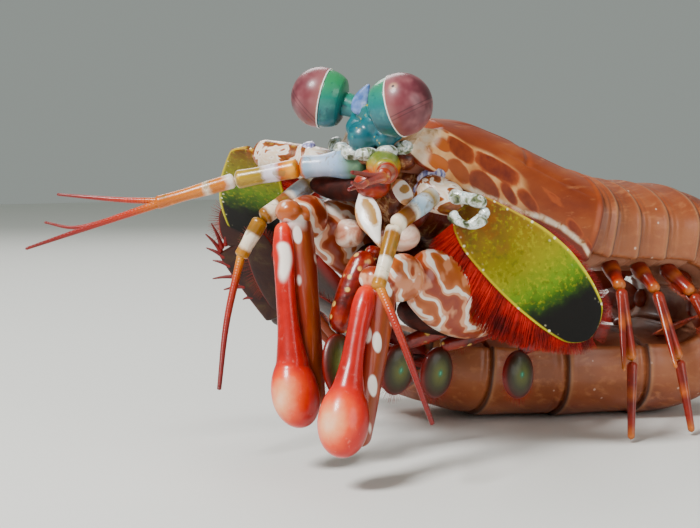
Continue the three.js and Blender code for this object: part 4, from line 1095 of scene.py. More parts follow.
def bandedFinish(name, bands, flesh=0.15, ringed=0.0, stained=0.0):
    skin = Finish(name, roughness=0.32, coat=0.25, flesh=flesh * 0.5, fleshDepth=0.8, shine=0.4)
    wobble = skin.waver(1.1, 3.0, 0.035, -0.0175)
    along = skin.plus(skin.value("along"), wobble)
    base = skin.ramp(along, bands)
    base = skin.blend(skin.patches(0.9, 3.0, 0.55, 0.8), base, "fff2d8", "SOFT_LIGHT")
    stain = skin.patches(1.7, 3.0, 0.55, 0.64, wobble=0.9)
    base = skin.blend(skin.times(stain, stained), base, "80641a")
    height = skin.noise(0.5, 3.0)
    if ringed > 0:
        height = skin.plus(
            skin.times(skin.math("SINE", skin.times(skin.value("along"), ringed)), 0.6), height
        )
    return skin.done(base, skin.relief(height, 0.25, 0.12))


def antennuleNearFinish():
    skin = Finish("antennuleNear", roughness=0.32, coat=0.25, flesh=0.08, shine=0.35)
    high = skin.add("ShaderNodeSeparateXYZ", {0: skin.place()}).outputs["Z"]
    soft = skin.noise(1.8, 3.0, wobble=0.6)
    level = skin.plus(skin.step(high, 0.0362, 0.0412), skin.math("MULTIPLY_ADD", soft, 0.5, -0.25))
    base = skin.ramp(level, "0.15 8c1802, 0.4 b84402, 0.62 c07004, 0.8 a8900a, 0.98 6c7c20")
    tipward = skin.step(skin.plus(skin.value("along"), skin.math("MULTIPLY_ADD", soft, 0.2, -0.1)), 0.5, 0.7)
    base = skin.blend(tipward, base, "8c2802")
    glow = skin.patches(1.1, 2.0, 0.6, 0.75)
    base = skin.blend(skin.times(glow, 0.5), base, "e8c860")
    return skin.done(base, skin.relief(soft, 0.25, 0.25))


def addJoints(shape, joints, halves, flatness, ends):  # "along" runs over all of them
    joints = np.array(joints)
    lengths = np.linalg.norm(np.diff(joints, axis=0), axis=1)
    run = 0.0
    for k, half in enumerate(halves):
        high = [flatness * value for value in half]
        grid, shares, _ = sweep(joints[k:k + 2], half, high, (0, 0, 1), rows=30, ends=(ends, ends))
        shape.addGrid(grid, along=((run + shares * lengths[k]) / lengths.sum())[:, None])
        run += lengths[k]


def buildAntennules():
    finish = bandedFinish(
        "antennuleBands",
        "0.0 3f6a4a, 0.08 5a8064, 0.14 93aed0, 0.24 b4c4de, 0.29 86a4bc, 0.31 b85a04, 0.36 e89c08, "
        "0.41 b85004, 0.44 dcd4e0, 0.48 ccc0cc, 0.5 947604, 0.61 a88404, 0.63 ece0d4, 0.66 e0d0c4, "
        "0.68 c46a04, 0.74 bc6c06, 0.76 ecdac0, 0.785 c87004, 1.0 b85a04", stained=0.6
    )
    nearFinish = antennuleNearFinish()
    whipFinish = bandedFinish(
        "antennuleWhips", "0.0 c46a04, 0.25 b42c06, 0.6 8c0e04, 1.0 700a04", ringed=240.0
    )
    for side in ("left", "right"):
        spec = antennuleShape[side]
        shape = Shape()
        halves = [(thick, thick * 0.95, thin, thin * 1.12) for thick, thin in antennuleShape["half"]]
        addJoints(shape, spec["joints"], halves, 1.0, 0.5)
        shape.install(
            "antennule" + side.title(), nearFinish if side == "left" else finish, "antennule",
            "antennule_" + side
        )
        whips = Shape()
        for points, (thick, thin) in zip(spec["whips"], antennuleShape["whipHalf"]):
            addLimb(
                whips, points, [thick, thin], [thick, thin], (0, 0, 1), rows=60, columns=10, ends=(0.5, 0.5)
            )
        whips.install("antennuleWhips" + side.title(), whipFinish, "antennule")


def buildAntennae():
    antennaFinish = bandedFinish(
        "antennaBands",
        "0.0 c0c8c8, 0.1 8c7038, 0.16 a8bccc, 0.25 94b0c4, 0.29 e4dccc, 0.33 7c4004, 0.42 8a5206, "
        "0.45 f0e2c8, 0.54 ecdabc, 0.57 8a5404, 0.66 966406, 0.75 8a5a08, 0.78 f2e6d0, 0.9 ecdabc, "
        "0.93 a86c08, 1.0 b87804", stained=0.6
    )
    whipFinish = bandedFinish(
        "antennaWhips", "0.0 d08c08, 0.1 c05c04, 0.22 a42404, 0.6 800c04, 1.0 640804", ringed=300.0
    )
    stubFinish = mottledFinish(
        "antennaStub",
        "0.30 6c300a, 0.41 a05410, 0.44 f4e8da, 0.50 e4c8a8, 0.56 f4e8da, 0.585 a05410, 0.66 6c300a, "
        "0.76 b08008", (3.6, 2.5, 0.9), (0.2, 0.15, (0.6, 3.0)),
        roughness=0.32, coat=0.25, flesh=0.075, fleshDepth=0.9, shine=0.4)
    for side in ("left", "right"):
        spec = antennaShape[side]
        shape = Shape()
        addJoints(shape, spec["joints"], antennaShape["halves"], 0.9, 0.6)
        shape.install("antenna" + side.title(), antennaFinish, "antenna", "antenna_" + side)
        whip = Shape()
        addLimb(
            whip, spec["whip"], [0.6, 0.45, 0.3], [0.6, 0.45, 0.3], (0, 1, 0), rows=90, columns=10,
            ends=(0.5, 0.5)
        )
        whip.install("antennaWhip" + side.title(), whipFinish, "antenna")
        stub = Shape()
        addLimb(
            stub, [spec["root"], spec["stub"]], [2.3, 2.5, 2.3, 1.9], [2.0, 2.2, 2.0, 1.5], (0, 0, 1),
            rows=30, columns=24
        )
        stub.install("antennaStub" + side.title(), stubFinish, "antenna")


buildAntennules()
buildAntennae()
print("feelers done")


# Antennal scales with their fringes

scaleShape = {
    "thick": 0.5, "cup": -0.8,
    "edges": (  # share of the length, half widths below and above
        (0, 2.5, 2.3), (0.15, 4.2, 3.8), (0.4, 4.6, 5.8), (0.6, 4.5, 6.3), (0.8, 3.9, 5.5), (0.93, 3.0, 4.2),
        (1, 2.2, 3.2),
    ),
    "left": {"root": (14.1, 3.1, 34.5), "tip": (24.8, 18.3, 16.3), "face": (0.64, -0.76, 0.07), "hand": 1},
    "right": {"root": (-18.7, -3.7, 41.8), "tip": (-28.8, 9.8, 25.9), "face": (0.42, -0.86, 0.0), "hand": -1},
    "bristles": (1500, 900), "bristleLong": (6.2, 1.9), "roundEnds": (0.07, 0.1),
}


def scaleFinish():
    skin = Finish("scaleBlade", roughness=0.5, coat=0.04, coatRoughness=0.16, flesh=0.02, shine=0.18)
    along = skin.plus(skin.value("along"), skin.waver(1.8, 4.0, 0.12, -0.06))
    base = skin.ramp(
        along, "0.0 643400, 0.14 704800, 0.3 826a00, 0.48 848200, 0.62 5c8000, 0.7 2c5000, 0.75 101c02, "
        "0.78 0a0704, 1.0 060403"
    )
    grain = skin.noise(0.55, 3.0)
    living = skin.rest(skin.step(along, 0.66, 0.76))
    light = skin.times(skin.step(grain, 0.5, 0.7), skin.times(living, 0.6))
    base = skin.blend(light, base, "a09c00")
    dark = skin.times(skin.patches(0.9, 4.0, 0.52, 0.7), skin.times(living, 0.5))
    base = skin.blend(dark, base, "4c4c00")
    amber = skin.times(skin.patches(3.0, 3.0, 0.48, 0.62), skin.step(along, 0.42, 0.12))
    base = skin.blend(skin.times(amber, 0.8), base, "904c04")
    rim = skin.step(skin.value("rim"), 0.9, 0.97)
    rimTone = skin.ramp(skin.value("along"), "0.0 b0851c, 0.4 c4b008, 0.8 cfc60a, 1.0 8a7a0c")
    base = skin.blend(rim, base, rimTone)
    beads = skin.times(
        skin.rest(skin.step(skin.cells(0.9), 0.12, 0.3)), skin.step(skin.value("rim"), 0.78, 0.95)
    )
    base = skin.blend(beads, base, "f4efc4")
    fine = skin.relief(grain, 0.25, 0.12)
    return skin.done(base, fine)


def bristleFinish(name, *codes):
    skin = Finish(name, roughness=0.55, coat=0.0, shine=0.25)
    skin.shader.inputs["Sheen Weight"].default_value = 0.05
    return skin.done(skin.ramp(skin.noise(3.4, 3.0), "0.3 %s, 0.5 %s, 0.72 %s" % codes))


def buildScales():
    finish = scaleFinish()
    fringeFinish = bristleFinish("scaleFringe", "5c0200", "ac0801", "e42402")
    for side in ("left", "right"):
        spec = scaleShape[side]
        root, tip = np.array(spec["root"]), np.array(spec["tip"])
        long = np.linalg.norm(tip - root)
        axis = (tip - root) / long
        across = -unit(np.cross(axis, spec["face"]))
        under = np.cross(axis, across)
        u = np.linspace(0, 1, 90)
        shares = 0.35 * u + 0.65 * (0.5 - 0.5 * np.cos(np.pi * u))
        edges = np.array(scaleShape["edges"], float)
        lower = smoothTable(edges[:, 0], edges[:, 1], shares)
        upper = smoothTable(edges[:, 0], edges[:, 2], shares)
        hand = spec["hand"]
        angle = angles(56)
        cx = np.sin(angle)
        first, last = scaleShape["roundEnds"]
        front = np.clip(1 - (1 - shares / first).clip(0, 1) ** 2, 0.02, 1)
        rear = np.clip(1 - ((shares - 1 + last) / last).clip(0, 1) ** 2, 0.01, 1)
        closing = np.sqrt(front * rear)
        reach = np.where(cx * hand > 0, upper[:, None], lower[:, None]) * closing[:, None]
        width = cx[None] * reach
        fold = np.abs(cx)[None] ** 6
        high = squared(np.cos(angle), 0.5)[None] * scaleShape["thick"] * (1 - 0.25 * fold)
        high = high * np.sqrt(np.clip(1 - shares ** 14, 0.02, 1))[:, None]
        keel = 0.35 * bump(width - 0.4 * hand, 0.5) * (1 - shares[:, None])
        cupped = scaleShape["cup"] * np.sin(np.pi * shares)
        middle = root + axis * (shares * long)[:, None] + under * cupped[:, None]
        bulge = 0.5 * (1 - (width / 6.5) ** 2)
        over = high - bulge * 0.6 - keel * 0.3
        grid = middle[:, None] + across * width[..., None] + under * over[..., None]
        shape = Shape()
        tone = shares[:, None] - 0.06 * cx[None] * hand if side == "left" else (shares ** 0.55)[:, None]
        shape.addGrid(grid, along=tone, rim=np.maximum(np.abs(cx)[None], ease(shares, 0.985, 1.0)[:, None]))
        shape.install("scale" + side.title(), finish, "scale", "antennal_scale_" + side)

        generator = np.random.default_rng(11 if side == "left" else 12)
        for edgeSign, count, most in zip((-1, 1), scaleShape["bristles"], scaleShape["bristleLong"]):
            t = np.linspace(0.04, 1.0, count)
            out = smoothTable(edges[:, 0], edges[:, 1 if edgeSign < 0 else 2], t)
            out = out * np.sqrt(np.clip(1 - ((t - 1 + last) / last).clip(0, 1) ** 2, 0.03, 1))
            direction = across * hand * edgeSign
            slope = np.gradient(out, t * long)
            aim = direction + axis * (0.3 + 0.8 * t ** 3 - slope)[:, None]
            aim = aim + under * generator.normal(-0.05, 0.07, count)[:, None]
            aim = aim + axis * generator.normal(0, 0.05, count)[:, None]
            roots = root + axis * (t * long)[:, None] + direction * (out - 0.5)[:, None]
            depth = scaleShape["cup"] * np.sin(np.pi * t) - 0.45 + generator.normal(0, 0.08, count)
            roots = roots + under * depth[:, None]
            if edgeSign < 0:
                sizes = 0.5 + most * (0.35 + 0.65 * ease(t, 0.0, 0.14)) * (1 - 0.72 * ease(t, 0.45, 1.0))
            else:
                sizes = 0.5 + most * (0.25 if side == "right" else 1.0) * (0.15 + 0.85 * t ** 1.5)
            name = "fringe%s%s" % (side.title(), "Lower" if edgeSign < 0 else "Upper")
            growBristles(
                name, roots, aim, under, sizes, fringeFinish, "scale", thickness=0.02, bend=-0.05,
                variation=0.16
            )


def smoothTable(places, values, wanted):
    fine = np.linspace(places[0], places[-1], 400)
    plain = np.interp(fine, places, values)
    spread = np.exp(-0.5 * (np.arange(-54, 55) / 22.0) ** 2)
    blurred = np.convolve(np.pad(plain, 54, "reflect", reflect_type="odd"), spread / spread.sum(), "valid")
    return np.interp(wanted, fine, blurred)


buildScales()
print("antennal scales done")


# Striking claws

clawPlaces = {
    "left": {
        "root": (7.6, 23.4, 22.6), "hip": (9.8, 20.6, 21), "knee": (10.4, -3.2, 25.4),
        "wrist": (10.2, -9.2, 24.6), "heel": (11.9, -15.6, 6.4)
    },
    "right": {
        "root": (-0.6, 23.2, 25.0), "hip": (-3.6, 20.8, 25.6), "knee": (-6.2, -3.6, 32.4),
        "wrist": (-4.6, -9.0, 32.8), "heel": (0.4, -11.0, 8.8)
    },
}
clawSizes = {"clubHalf": 3.1, "clubDeep": 3.2, "clubLong": 4.9, "whitePatch": {"left": 0.0, "right": 1.0}}

clawLook = {
    "roughness": 0.3, "coat": 0.25, "coatRoughness": 0.08, "flesh": 0.04, "fleshDepth": 0.8, "shine": 0.35
}


def clubFinish():
    skin = Finish("club", **clawLook)
    heart = skin.plus(skin.value("heart"), skin.waver(1.6, 3.0, 0.24, -0.12))
    base = skin.ramp(heart, "0.0 fcd4b0, 0.2 fa9c68, 0.42 ee440a, 0.62 cc1402, 0.8 a80800, 1.0 7c0400")
    # White mark near the finger's tip: partly real white patch, partly painted highlight
    base = skin.blend(skin.value("whitePatch"), base, "fdf0e4")
    base = skin.blend(skin.times(skin.patches(0.7, 3.0, 0.6, 0.8), 0.12), base, "ffdcc8")
    return skin.done(base, skin.grain(0.6, 3.0, 0.08, 0.1))


def handFinish():
    skin = Finish("clawHand", **clawLook)
    around = skin.value("front")
    base = skin.ramp(around, "0.0 7c0c02, 0.35 842404, 0.6 8a3a06, 1.0 960c02")
    base = skin.blend(skin.step(skin.noise(2.2, 3.0, skin.place((1, 1, 0.35))), 0.5, 0.7), base, "a44408")
    cells = skin.cells(4.6, "F1", skin.place((1.5, 1.5, 0.8)), random=0.7)
    oval = skin.rest(skin.step(cells, 0.2, 0.27))
    base = skin.blend(oval, base, "f8ebe0")
    base = skin.blend(skin.value("whitePatch"), base, "fbf1ea")
    return skin.done(base, skin.grain(0.7, 3.0, 0.12, 0.12))


def zebraFinish():
    skin = Finish("clawArm", roughness=0.3, coat=0.3, flesh=0.06, fleshDepth=0.9, shine=0.4)
    place = skin.place()
    bent = skin.add("ShaderNodeTexNoise", {"Vector": place, "Scale": 170.0, "Detail": 2.0}).outputs["Color"]
    shifted = skin.add(
        "ShaderNodeVectorMath", {0: bent, 1: (0.011, 0.011, 0.011)}, operation="MULTIPLY"
    ).outputs[0]
    moved = skin.add("ShaderNodeVectorMath", {0: place, 1: shifted}, operation="ADD").outputs[0]
    bands = skin.add(
        "ShaderNodeTexWave", {"Vector": moved, "Scale": 52.0}, bands_direction="DIAGONAL"
    ).outputs["Fac"]
    base = skin.ramp(
        bands,
        "0.0 8c2a04, 0.2 a04008, 0.27 dc9870, 0.45 dc9c78, 0.5 f4e2d0, 0.78 f8ece0, 0.84 c4703c, 1.0 a44c10"
    )
    base = skin.blend(skin.patches(3.2, 2.0, 0.56, 0.64), base, "cc8058")
    return skin.done(base, skin.grain(0.8, 3.0, 0.15, 0.15))


def buildClaws():
    zebra = zebraFinish()
    club, hand = clubFinish(), handFinish()
    for side, spec in clawPlaces.items():
        p = {k: np.array(v, float) for k, v in spec.items()}
        across = np.array([1.0, 0, 0])
        shaft = unit(p["heel"] - p["wrist"])
        front = np.cross(across, shaft)
        front = unit(front if front[1] < 0 else -front)
        clubAt = p["heel"] + front * 3.4 - shaft * 1.6

        arm = Shape()
        addLimb(
            arm, [p["hip"], p["knee"]], [2.2, 3.3, 3.5, 3.1, 2.2], [3.2, 5.6, 6.2, 5.4, 3.2], across, rows=50,
            columns=36, ends=(0.8, 0.8), bow=(0, 0, -1.0)
        )
        addLimb(arm, [p["root"], p["hip"]], [2.1, 2.3], [2.5, 2.9], across, rows=20, columns=24)
        install(fuse(arm, "clawArm" + side.title(), 0.28, 3), zebra, "arm", "claw_merus_" + side)

        carpus = Shape()
        knee, wrist = p["knee"] * 1.25 - p["wrist"] * 0.25, p["wrist"] * 1.12 - p["knee"] * 0.12
        addLimb(
            carpus, [knee, wrist], [2.0, 2.7, 2.4, 1.9], [2.3, 3.1, 2.8, 2.1], across, rows=30, columns=30
        )
        addBall(carpus, wrist + front * 0.9 + (0, 0, 0.6), (1.9, 1.7, 1.6))
        addBall(carpus, wrist - front * 1.0 + (0, 0, 0.2), (2.0, 1.6, 1.5))
        install(fuse(carpus, "clawWrist" + side.title(), 0.24, 3), zebra, "arm", "claw_carpus_" + side)

        start, end = p["wrist"] - shaft * 1.2, p["heel"] + shaft * 1.4
        wide, deep = [1.7, 1.8, 1.8, 1.7, 1.5, 1.3], [2.4, 2.7, 2.5, 2.2, 2.1, 1.7]
        grid, shares, _ = sweep([start, end], wide, deep, across, rows=60, columns=36, ends=(0.8, 0.9))
        rel = grid - (start + (end - start) * shares[:, None])[:, None]
        facing = rel @ front
        groove = 0.5 * bump(rel @ across, 0.7) * (facing > 0)
        grid = grid - front * groove[..., None]
        shape = Shape()
        shape.addGrid(grid, front=np.clip(0.5 + facing / 5.0, 0, 1),
                      whitePatch=(1 - ease(shares, 0.06, 0.14))[:, None] * ease(facing, -0.6, 0.6))
        shape.install("clawHand" + side.title(), hand, "claw_red", "claw_propodus_" + side)

        tip = p["wrist"] + front * 2.7 + shaft * 0.9
        bend = np.linspace(0.02, np.pi - 0.02, 40)
        turn = angles(44)
        long, deep, half = clawSizes["clubLong"], clawSizes["clubDeep"], clawSizes["clubHalf"]
        egg = 1 - 0.12 * np.cos(bend)
        spots = (clubAt[None, None] - shaft * (np.cos(bend) * long)[:, None, None]
                 + across * (np.sin(bend) * half * egg)[:, None, None] * np.cos(turn)[None, :, None]
                 + front * (np.sin(bend) * deep * egg)[:, None, None] * np.sin(turn)[None, :, None])
        bulb = Shape()
        bulb.addGrid(spots)
        line = [clubAt - shaft * 1.5, (clubAt + tip) / 2 + front * 0.4, tip]
        wide, thick = [2.6, 1.9, 1.5, 1.35, 1.35, 1.45, 1.0], [2.6, 1.9, 1.35, 1.25, 1.3, 1.35, 0.9]
        addLimb(bulb, line, wide, thick, across, rows=56, columns=30)
        addLimb(bulb, [clubAt, p["heel"] + shaft * 1.0], [2.2, 1.9, 1.5], [2.4, 2.1, 1.7], across, rows=24)
        obj = fuse(bulb, "clawFinger" + side.title(), 0.2, 2)
        paintClub(obj, clubAt, shaft, front, across, tip, clawSizes["whitePatch"][side])
        install(obj, club, "club", "claw_dactyl_" + side)


def paintClub(obj, clubAt, shaft, front, across, tip, patch):
    spots = np.zeros(len(obj.data.vertices) * 3)
    obj.data.vertices.foreach_get("co", spots)
    spots = spots.reshape(-1, 3) * 1000 + designOrigin
    rel = spots - clubAt
    down, ahead, aside = rel @ shaft, rel @ front, rel @ across
    heart = np.sqrt(((down - 1.0) / 6.0) ** 2 + ((ahead - 2.6) / 4.6) ** 2 + ((aside - 0.4) / 4.6) ** 2)
    heart = np.clip(heart * 0.82, 0, 1)
    share = ease(-down, 2.6, 5.6)
    heart = heart * (1 - share) + share * (0.8 - 0.12 * ease(-down, 8, 20))
    long = (tip - clubAt) @ -shaft
    # The white mark near the finger's tip is partly its real white patch and partly a painted highlight, laid
    # down the middle of the finger as the camera sees it
    right = viewAxes()[0]
    aside = rel @ right - ((tip - clubAt) @ right) * np.clip(-down / long, 0, 1) - 0.25 * np.sin(down)
    white = (
        ease(-down, long - 9.5, long - 5.5) * (1 - ease(-down, long - 3.6, long - 2.4))
        * bump(aside + 0.1, 0.75)
    )
    white = patch * ease(white, 0.12, 0.6)
    heart = heart * (1 - ease(-down, long - 3, long)) + 0.5 * ease(-down, long - 3, long)
    markPoints(obj, heart=heart, whitePatch=white)


buildClaws()
print("claws done")


# Maxillipeds

handPlaces = {
    3: {"left": ((8.6, 22.5, 23.4), (6.6, 12.2, 17.2), (3.0, 4.6, 15.0), (2.4, 3.0, 8.0)),
        "right": ((2.2, 20, 24.4), (3.4, -3.6, 28.2), (2.0, -8.2, 17.6), (4.2, -9.4, 9.2))},
    4: {"left": ((9.6, 28.5, 22.8), (9.4, 18.6, 16.4), (5.2, 10.4, 14.2), (4.8, 9.2, 7.0)),
        "right": ((3.0, 27, 23), (-1.8, 16.8, 20.8), (-2.8, 9.6, 21.4), (-3.6, 4.6, 17.8))},
    5: {"left": ((10.8, 34, 21.8), (14.4, 25.4, 15.4), (12.4, 19.6, 13.4), (12.8, 18.4, 6.6)),
        "right": ((4.0, 33, 22), (1.2, 25, 19.8), (3.2, 18.4, 18.6), (4.4, 15.0, 13.6))},
}


def discFinish():
    skin = Finish("handDisc", roughness=0.38, coat=0.15, flesh=0.03, shine=0.35)
    base = skin.ramp(
        skin.value("middle"), "0.0 50c0a0, 0.09 2c6a48, 0.2 54581a, 0.55 302c0a, 0.8 3c1408, 1.0 840f06"
    )
    base = skin.blend(skin.patches(0.8, 3.0, 0.52, 0.72), base, "a8a24a", "SOFT_LIGHT")
    return skin.done(base, skin.grain(0.6, 3.0, 0.2, 0.15))


def redArmFinish():
    skin = Finish("redArm", roughness=0.3, coat=0.3, flesh=0.08, shine=0.4)
    base = skin.ramp(skin.noise(2.4, 3.0, wobble=0.6), "0.3 3c0602, 0.5 7c0e02, 0.68 a03006")
    dots = skin.rest(skin.step(skin.cells(1.5), 0.2, 0.34))
    keep = skin.patches(3.5, 1.0, 0.42, 0.52)
    base = skin.blend(skin.times(dots, keep), base, "e4b860")
    return skin.done(base, skin.grain(0.8, 3.0, 0.35, 0.25))


def buildMaxillipeds():
    arm, disc = redArmFinish(), discFinish()
    bristle = bristleFinish("handBristles", "5c0804", "98140a", "c93a1c")
    generator = np.random.default_rng(21)
    across = np.array([0.35, 1, 0])
    for number, row in handPlaces.items():
        for side, (root, knee, wrist, tip) in row.items():
            root, knee, wrist, tip = (np.array(v, float) for v in (root, knee, wrist, tip))
            shape = Shape()
            addLimb(shape, [root, knee], [0.8, 1.0, 0.9], [0.8, 1.0, 0.9], across, rows=24, columns=16)
            stout = 1.75 if (number, side) == (3, "right") else 1.0
            halves = [stout * half for half in (0.9, 1.2, 1.15, 0.9)]
            addLimb(
                shape, [knee, wrist], halves, [0.92 * half for half in halves], across, rows=30, columns=20
            )
            shape.install(
                "maxilliped%d%s" % (number, side.title()), arm, "arm", "maxilliped_%d_%s" % (number, side)
            )
            wide, thick = [1.2, 2.3, 2.7, 2.4, 1.3], [0.7, 0.95, 1.0, 0.85, 0.55]
            grid = sweep([wrist, tip], wide, thick, across, rows=34, columns=32, ends=(0.9, 0.9))[0]
            centre = (wrist + tip) / 2
            axis = unit(tip - wrist)
            wide = unit(across - axis * (across @ axis))
            rel = grid - centre
            long = np.linalg.norm(tip - wrist)
            away = np.sqrt(((rel @ axis) / (0.55 * long)) ** 2 + ((rel @ wide) / 2.75) ** 2)
            plate = Shape()
            plate.addGrid(grid, middle=np.clip(away, 0, 1))
            plate.install("handDisc%d%s" % (number, side.title()), disc, "arm")
            turn = np.linspace(-2.4, 2.4, 90)
            ahead, aside = np.cos(turn)[:, None], np.sin(turn)[:, None]
            spots = centre + axis * (ahead * 0.5 * long) + wide * (aside * 2.3)
            aim = axis * ahead * 0.8 + wide * aside
            aim = unit(aim + generator.normal(0, 0.12, (len(turn), 3)))
            sizes = np.minimum(1.3, 0.9 * spots[:, 2] / np.maximum(-aim[:, 2], 0.2))
            growBristles("handBristles%d%s" % (number, side.title()), spots, aim, axis, sizes, bristle, "arm")
    for sign, side in ((1, "left"), (-1, "right")):
        shape = Shape()
        elbow = np.array([3.2 + 3.6 * sign, 4.9, 21.6])
        addLimb(
            shape, [(3.4 + 3.2 * sign, 13.5, 26.2), elbow], [0.8, 1.0, 0.8], [0.9, 1.15, 0.9], (1, 0, 0),
            rows=20, columns=14
        )
        addLimb(
            shape, [elbow, (3.4 + 2.0 * sign, -2.4, 25.4)], [0.8, 0.9, 0.55], [0.85, 1.0, 0.6], (1, 0, 0),
            rows=20, columns=14
        )
        shape.install("cleaningLeg" + side.title(), arm, "arm", "maxilliped_1_" + side)


buildMaxillipeds()
print("maxillipeds done")


# Walking legs and swimmerets

legPlaces = (
    (1, 44, {"left": (13.2, 19, -7), "right": (21, 27, -3)}),
    (2, 50, {"left": (13.2, 20.5, -1), "right": (18, 26, 1)}),
    (3, 56.2, {"left": (13.2, 20.5, 6), "right": (16, 24, 6)}),
)
legSizes = {"rootOut": 8.0, "rootDown": 5.4, "kneeDrop": 9.4, "footLift": 0.5}
swimmeretShape = {
    "out": 6.4, "down": 5.2, "stalk": 2.6, "long": 6.6, "half": 2.3,
    "aim": ((0.62, 0.5, -0.2), (0.8, 0.3, 0.0), (0.8, 0.3, 0.0), (0.5, 0.38, 0.6), (0.3, 0.3, 0.85)),
}


def buildLegs():
    finish = bandedFinish(
        "legBands", "0.0 8c240c, 0.3 741606, 0.45 a84c14, 0.55 701206, 0.8 8a1c08, 1.0 b8661c", flesh=0.2
    )
    bristle = bristleFinish("legBristles", "6d3410", "94561c", "b8823c")
    generator = np.random.default_rng(31)
    for number, at, sides in legPlaces:
        for side, (kneeOut, reach, ahead) in sides.items():
            sign = 1 if side == "left" else -1
            root = bodyPoint(at, sign * legSizes["rootOut"], -legSizes["rootDown"])
            knee = bodyPoint(at, sign * kneeOut, -legSizes["kneeDrop"], ahead * 0.3)
            foot = bodyPoint(at, sign * reach, 0, ahead)
            foot[2] = legSizes["footLift"]
            outward = bodyAt(at)[3][0]
            shin = knee * 0.54 + np.append(foot[:2], -0.5) * 0.46 + outward * sign * 1.3
            free = knee * 0.38 + np.append(foot[:2], -0.5) * 0.62 + np.array([sign * 1.4, -3.6, 2.6])
            shape = Shape()
            for line, wide, thick, rows, columns in (
                    ([root, knee], [1.4, 1.35, 1.0, 1.1], [1.3, 1.25, 0.95, 1.0], 26, 16),
                    ([knee, shin], [0.95, 0.85, 0.8, 0.85], [0.9, 0.8, 0.75, 0.8], 26, 16),
                    ([shin, foot], [0.8, 0.72, 0.6, 0.5], [0.78, 0.7, 0.58, 0.5], 30, 16),
                    ([knee, free], [0.65, 0.6, 0.5, 0.3], [0.55, 0.5, 0.4, 0.25], 24, 12),
            ):
                addLimb(shape, line, wide, thick, (0, 1, 0), rows=rows, columns=columns)
            shape.install(
                "walkingLeg%d%s" % (number, side.title()), finish, "leg", "walking_leg_%d_%s" % (number, side)
            )
            count = 46
            t = generator.uniform(0.25, 0.97, count)
            spots = shin + (foot - shin) * t[:, None]
            ahead, aside = generator.normal(0, 0.6, count), generator.normal(0, 0.6, count)
            aim = unit(np.stack([ahead, aside, np.full(count, -0.8)], 1))
            sizes = np.minimum(0.8, 0.85 * spots[:, 2] / np.abs(aim[:, 2]))
            growBristles(
                "legBristles%d%s" % (number, side.title()), spots, aim, aim[:, [1, 2, 0]], sizes, bristle,
                "leg", thickness=0.035
            )


def buildSwimmerets():
    finish = bandedFinish("swimmeretLobes", "0.0 8c3018, 0.4 9c4a2c, 0.75 7c2210, 1.0 5c1408", flesh=0.3)
    bristle = bristleFinish("swimmeretBristles", "7c1c0a", "a8381c", "d07a50")
    generator = np.random.default_rng(41)
    ends = backShape["abdomen"]
    for k, (out, down, back) in enumerate(swimmeretShape["aim"]):
        at, along, up, sideways, _ = (v[0] for v in bodyAt((ends[k] + ends[k + 1]) / 2))
        for sign, side in ((1, "left"), (-1, "right")):
            direction = unit(sideways * sign * out - up * down + along * back)
            root = at + sideways * sign * swimmeretShape["out"] - up * swimmeretShape["down"]
            elbow = root + direction * swimmeretShape["stalk"]
            across = along + sideways * 0.3 * sign
            across = unit(across - direction * (across @ direction))
            flat = np.cross(direction, across)
            shape = Shape()
            addLimb(shape, [root, elbow], [1.5, 1.7], [0.9, 0.8], across, rows=16, columns=20)
            spots, aims = [], []
            for lean, size in ((-0.34, 0.8), (0.34, 1.0)):
                start = elbow - direction * 0.8
                end = elbow + direction * swimmeretShape["long"] + across * lean * 5
                half = swimmeretShape["half"] * size
                wide, thick = [0.9, half * 0.9, half, half * 0.8, 0.6], [0.45, 0.45, 0.4, 0.35, 0.2]
                addLimb(shape, [start, end], wide, thick, across, rows=26, columns=26, ends=(0.6, 0.6))
                turn = np.linspace(-2.0, 2.0, 44)
                middle = start + (end - start) * 0.6
                ahead, reach = unit(end - start), 0.38 * np.linalg.norm(end - start)
                ring = np.cos(turn)[:, None], np.sin(turn)[:, None]
                spots.append(middle + ahead * (ring[0] * reach) + across * (ring[1] * half * 0.8))
                aims.append(ahead * ring[0] + across * ring[1] + generator.normal(0, 0.1, (44, 3)))
            name = "swimmeret%d%s" % (k + 1, side.title())
            shape.install(name, finish, "swimmeret", "swimmeret_%d_%s" % (k + 1, side))
            growBristles(
                name + "Bristles", np.vstack(spots), np.vstack(aims), flat, 1.8, bristle, "swimmeret",
                bend=0.12
            )


buildLegs()
buildSwimmerets()
print("legs and swimmerets done")


# Tail

tailShape = {
    "from": 135.2, "to": 160.0, "keels": (0.0, -0.42, 0.42),
    "teeth": ((0.93, 2.4, 3.6), (0.86, 6.0, 3.4), (0.66, 9.4, 3.0))
}
fanPlaces = {
    "left": {
        "root": (131.5, 8.2, -0.4), "elbow": (-6.6, 13.2, 10.6), "outerEnd": (-6.4, 4.2, 17.6),
        "innerEnd": (-10.6, 3.0, 20.6), "flat": (0.95, -0.25, 0.1)
    },
    "right": {
        "root": (131.5, -8.2, -0.4), "elbow": (-28.4, 12.3, 16.4), "outerEnd": (-31.8, 6.5, 27.4),
        "innerEnd": (-25.6, 4.8, 29.6), "flat": (-0.9, -0.4, -0.16)
    },
}
fanSizes = {"endLong": 6.0, "endAside": 3.4, "half": 3.1, "inset": 0.7}
fanSpines = (  # share of the outer paddle, place aside from its edge, turn towards its end, length
    (0.3, 0, 14, 1.2), (0.47, 0, 16, 3.0), (0.62, 0, 20, 3.6), (0.78, 0, 44, 2.3),
    (0.91, 0, 54, 2.6), (1.0, 0, 78, 2.9), (1.03, -0.5, 98, 3.6), (1.04, -1.3, 118, 3.4),
)


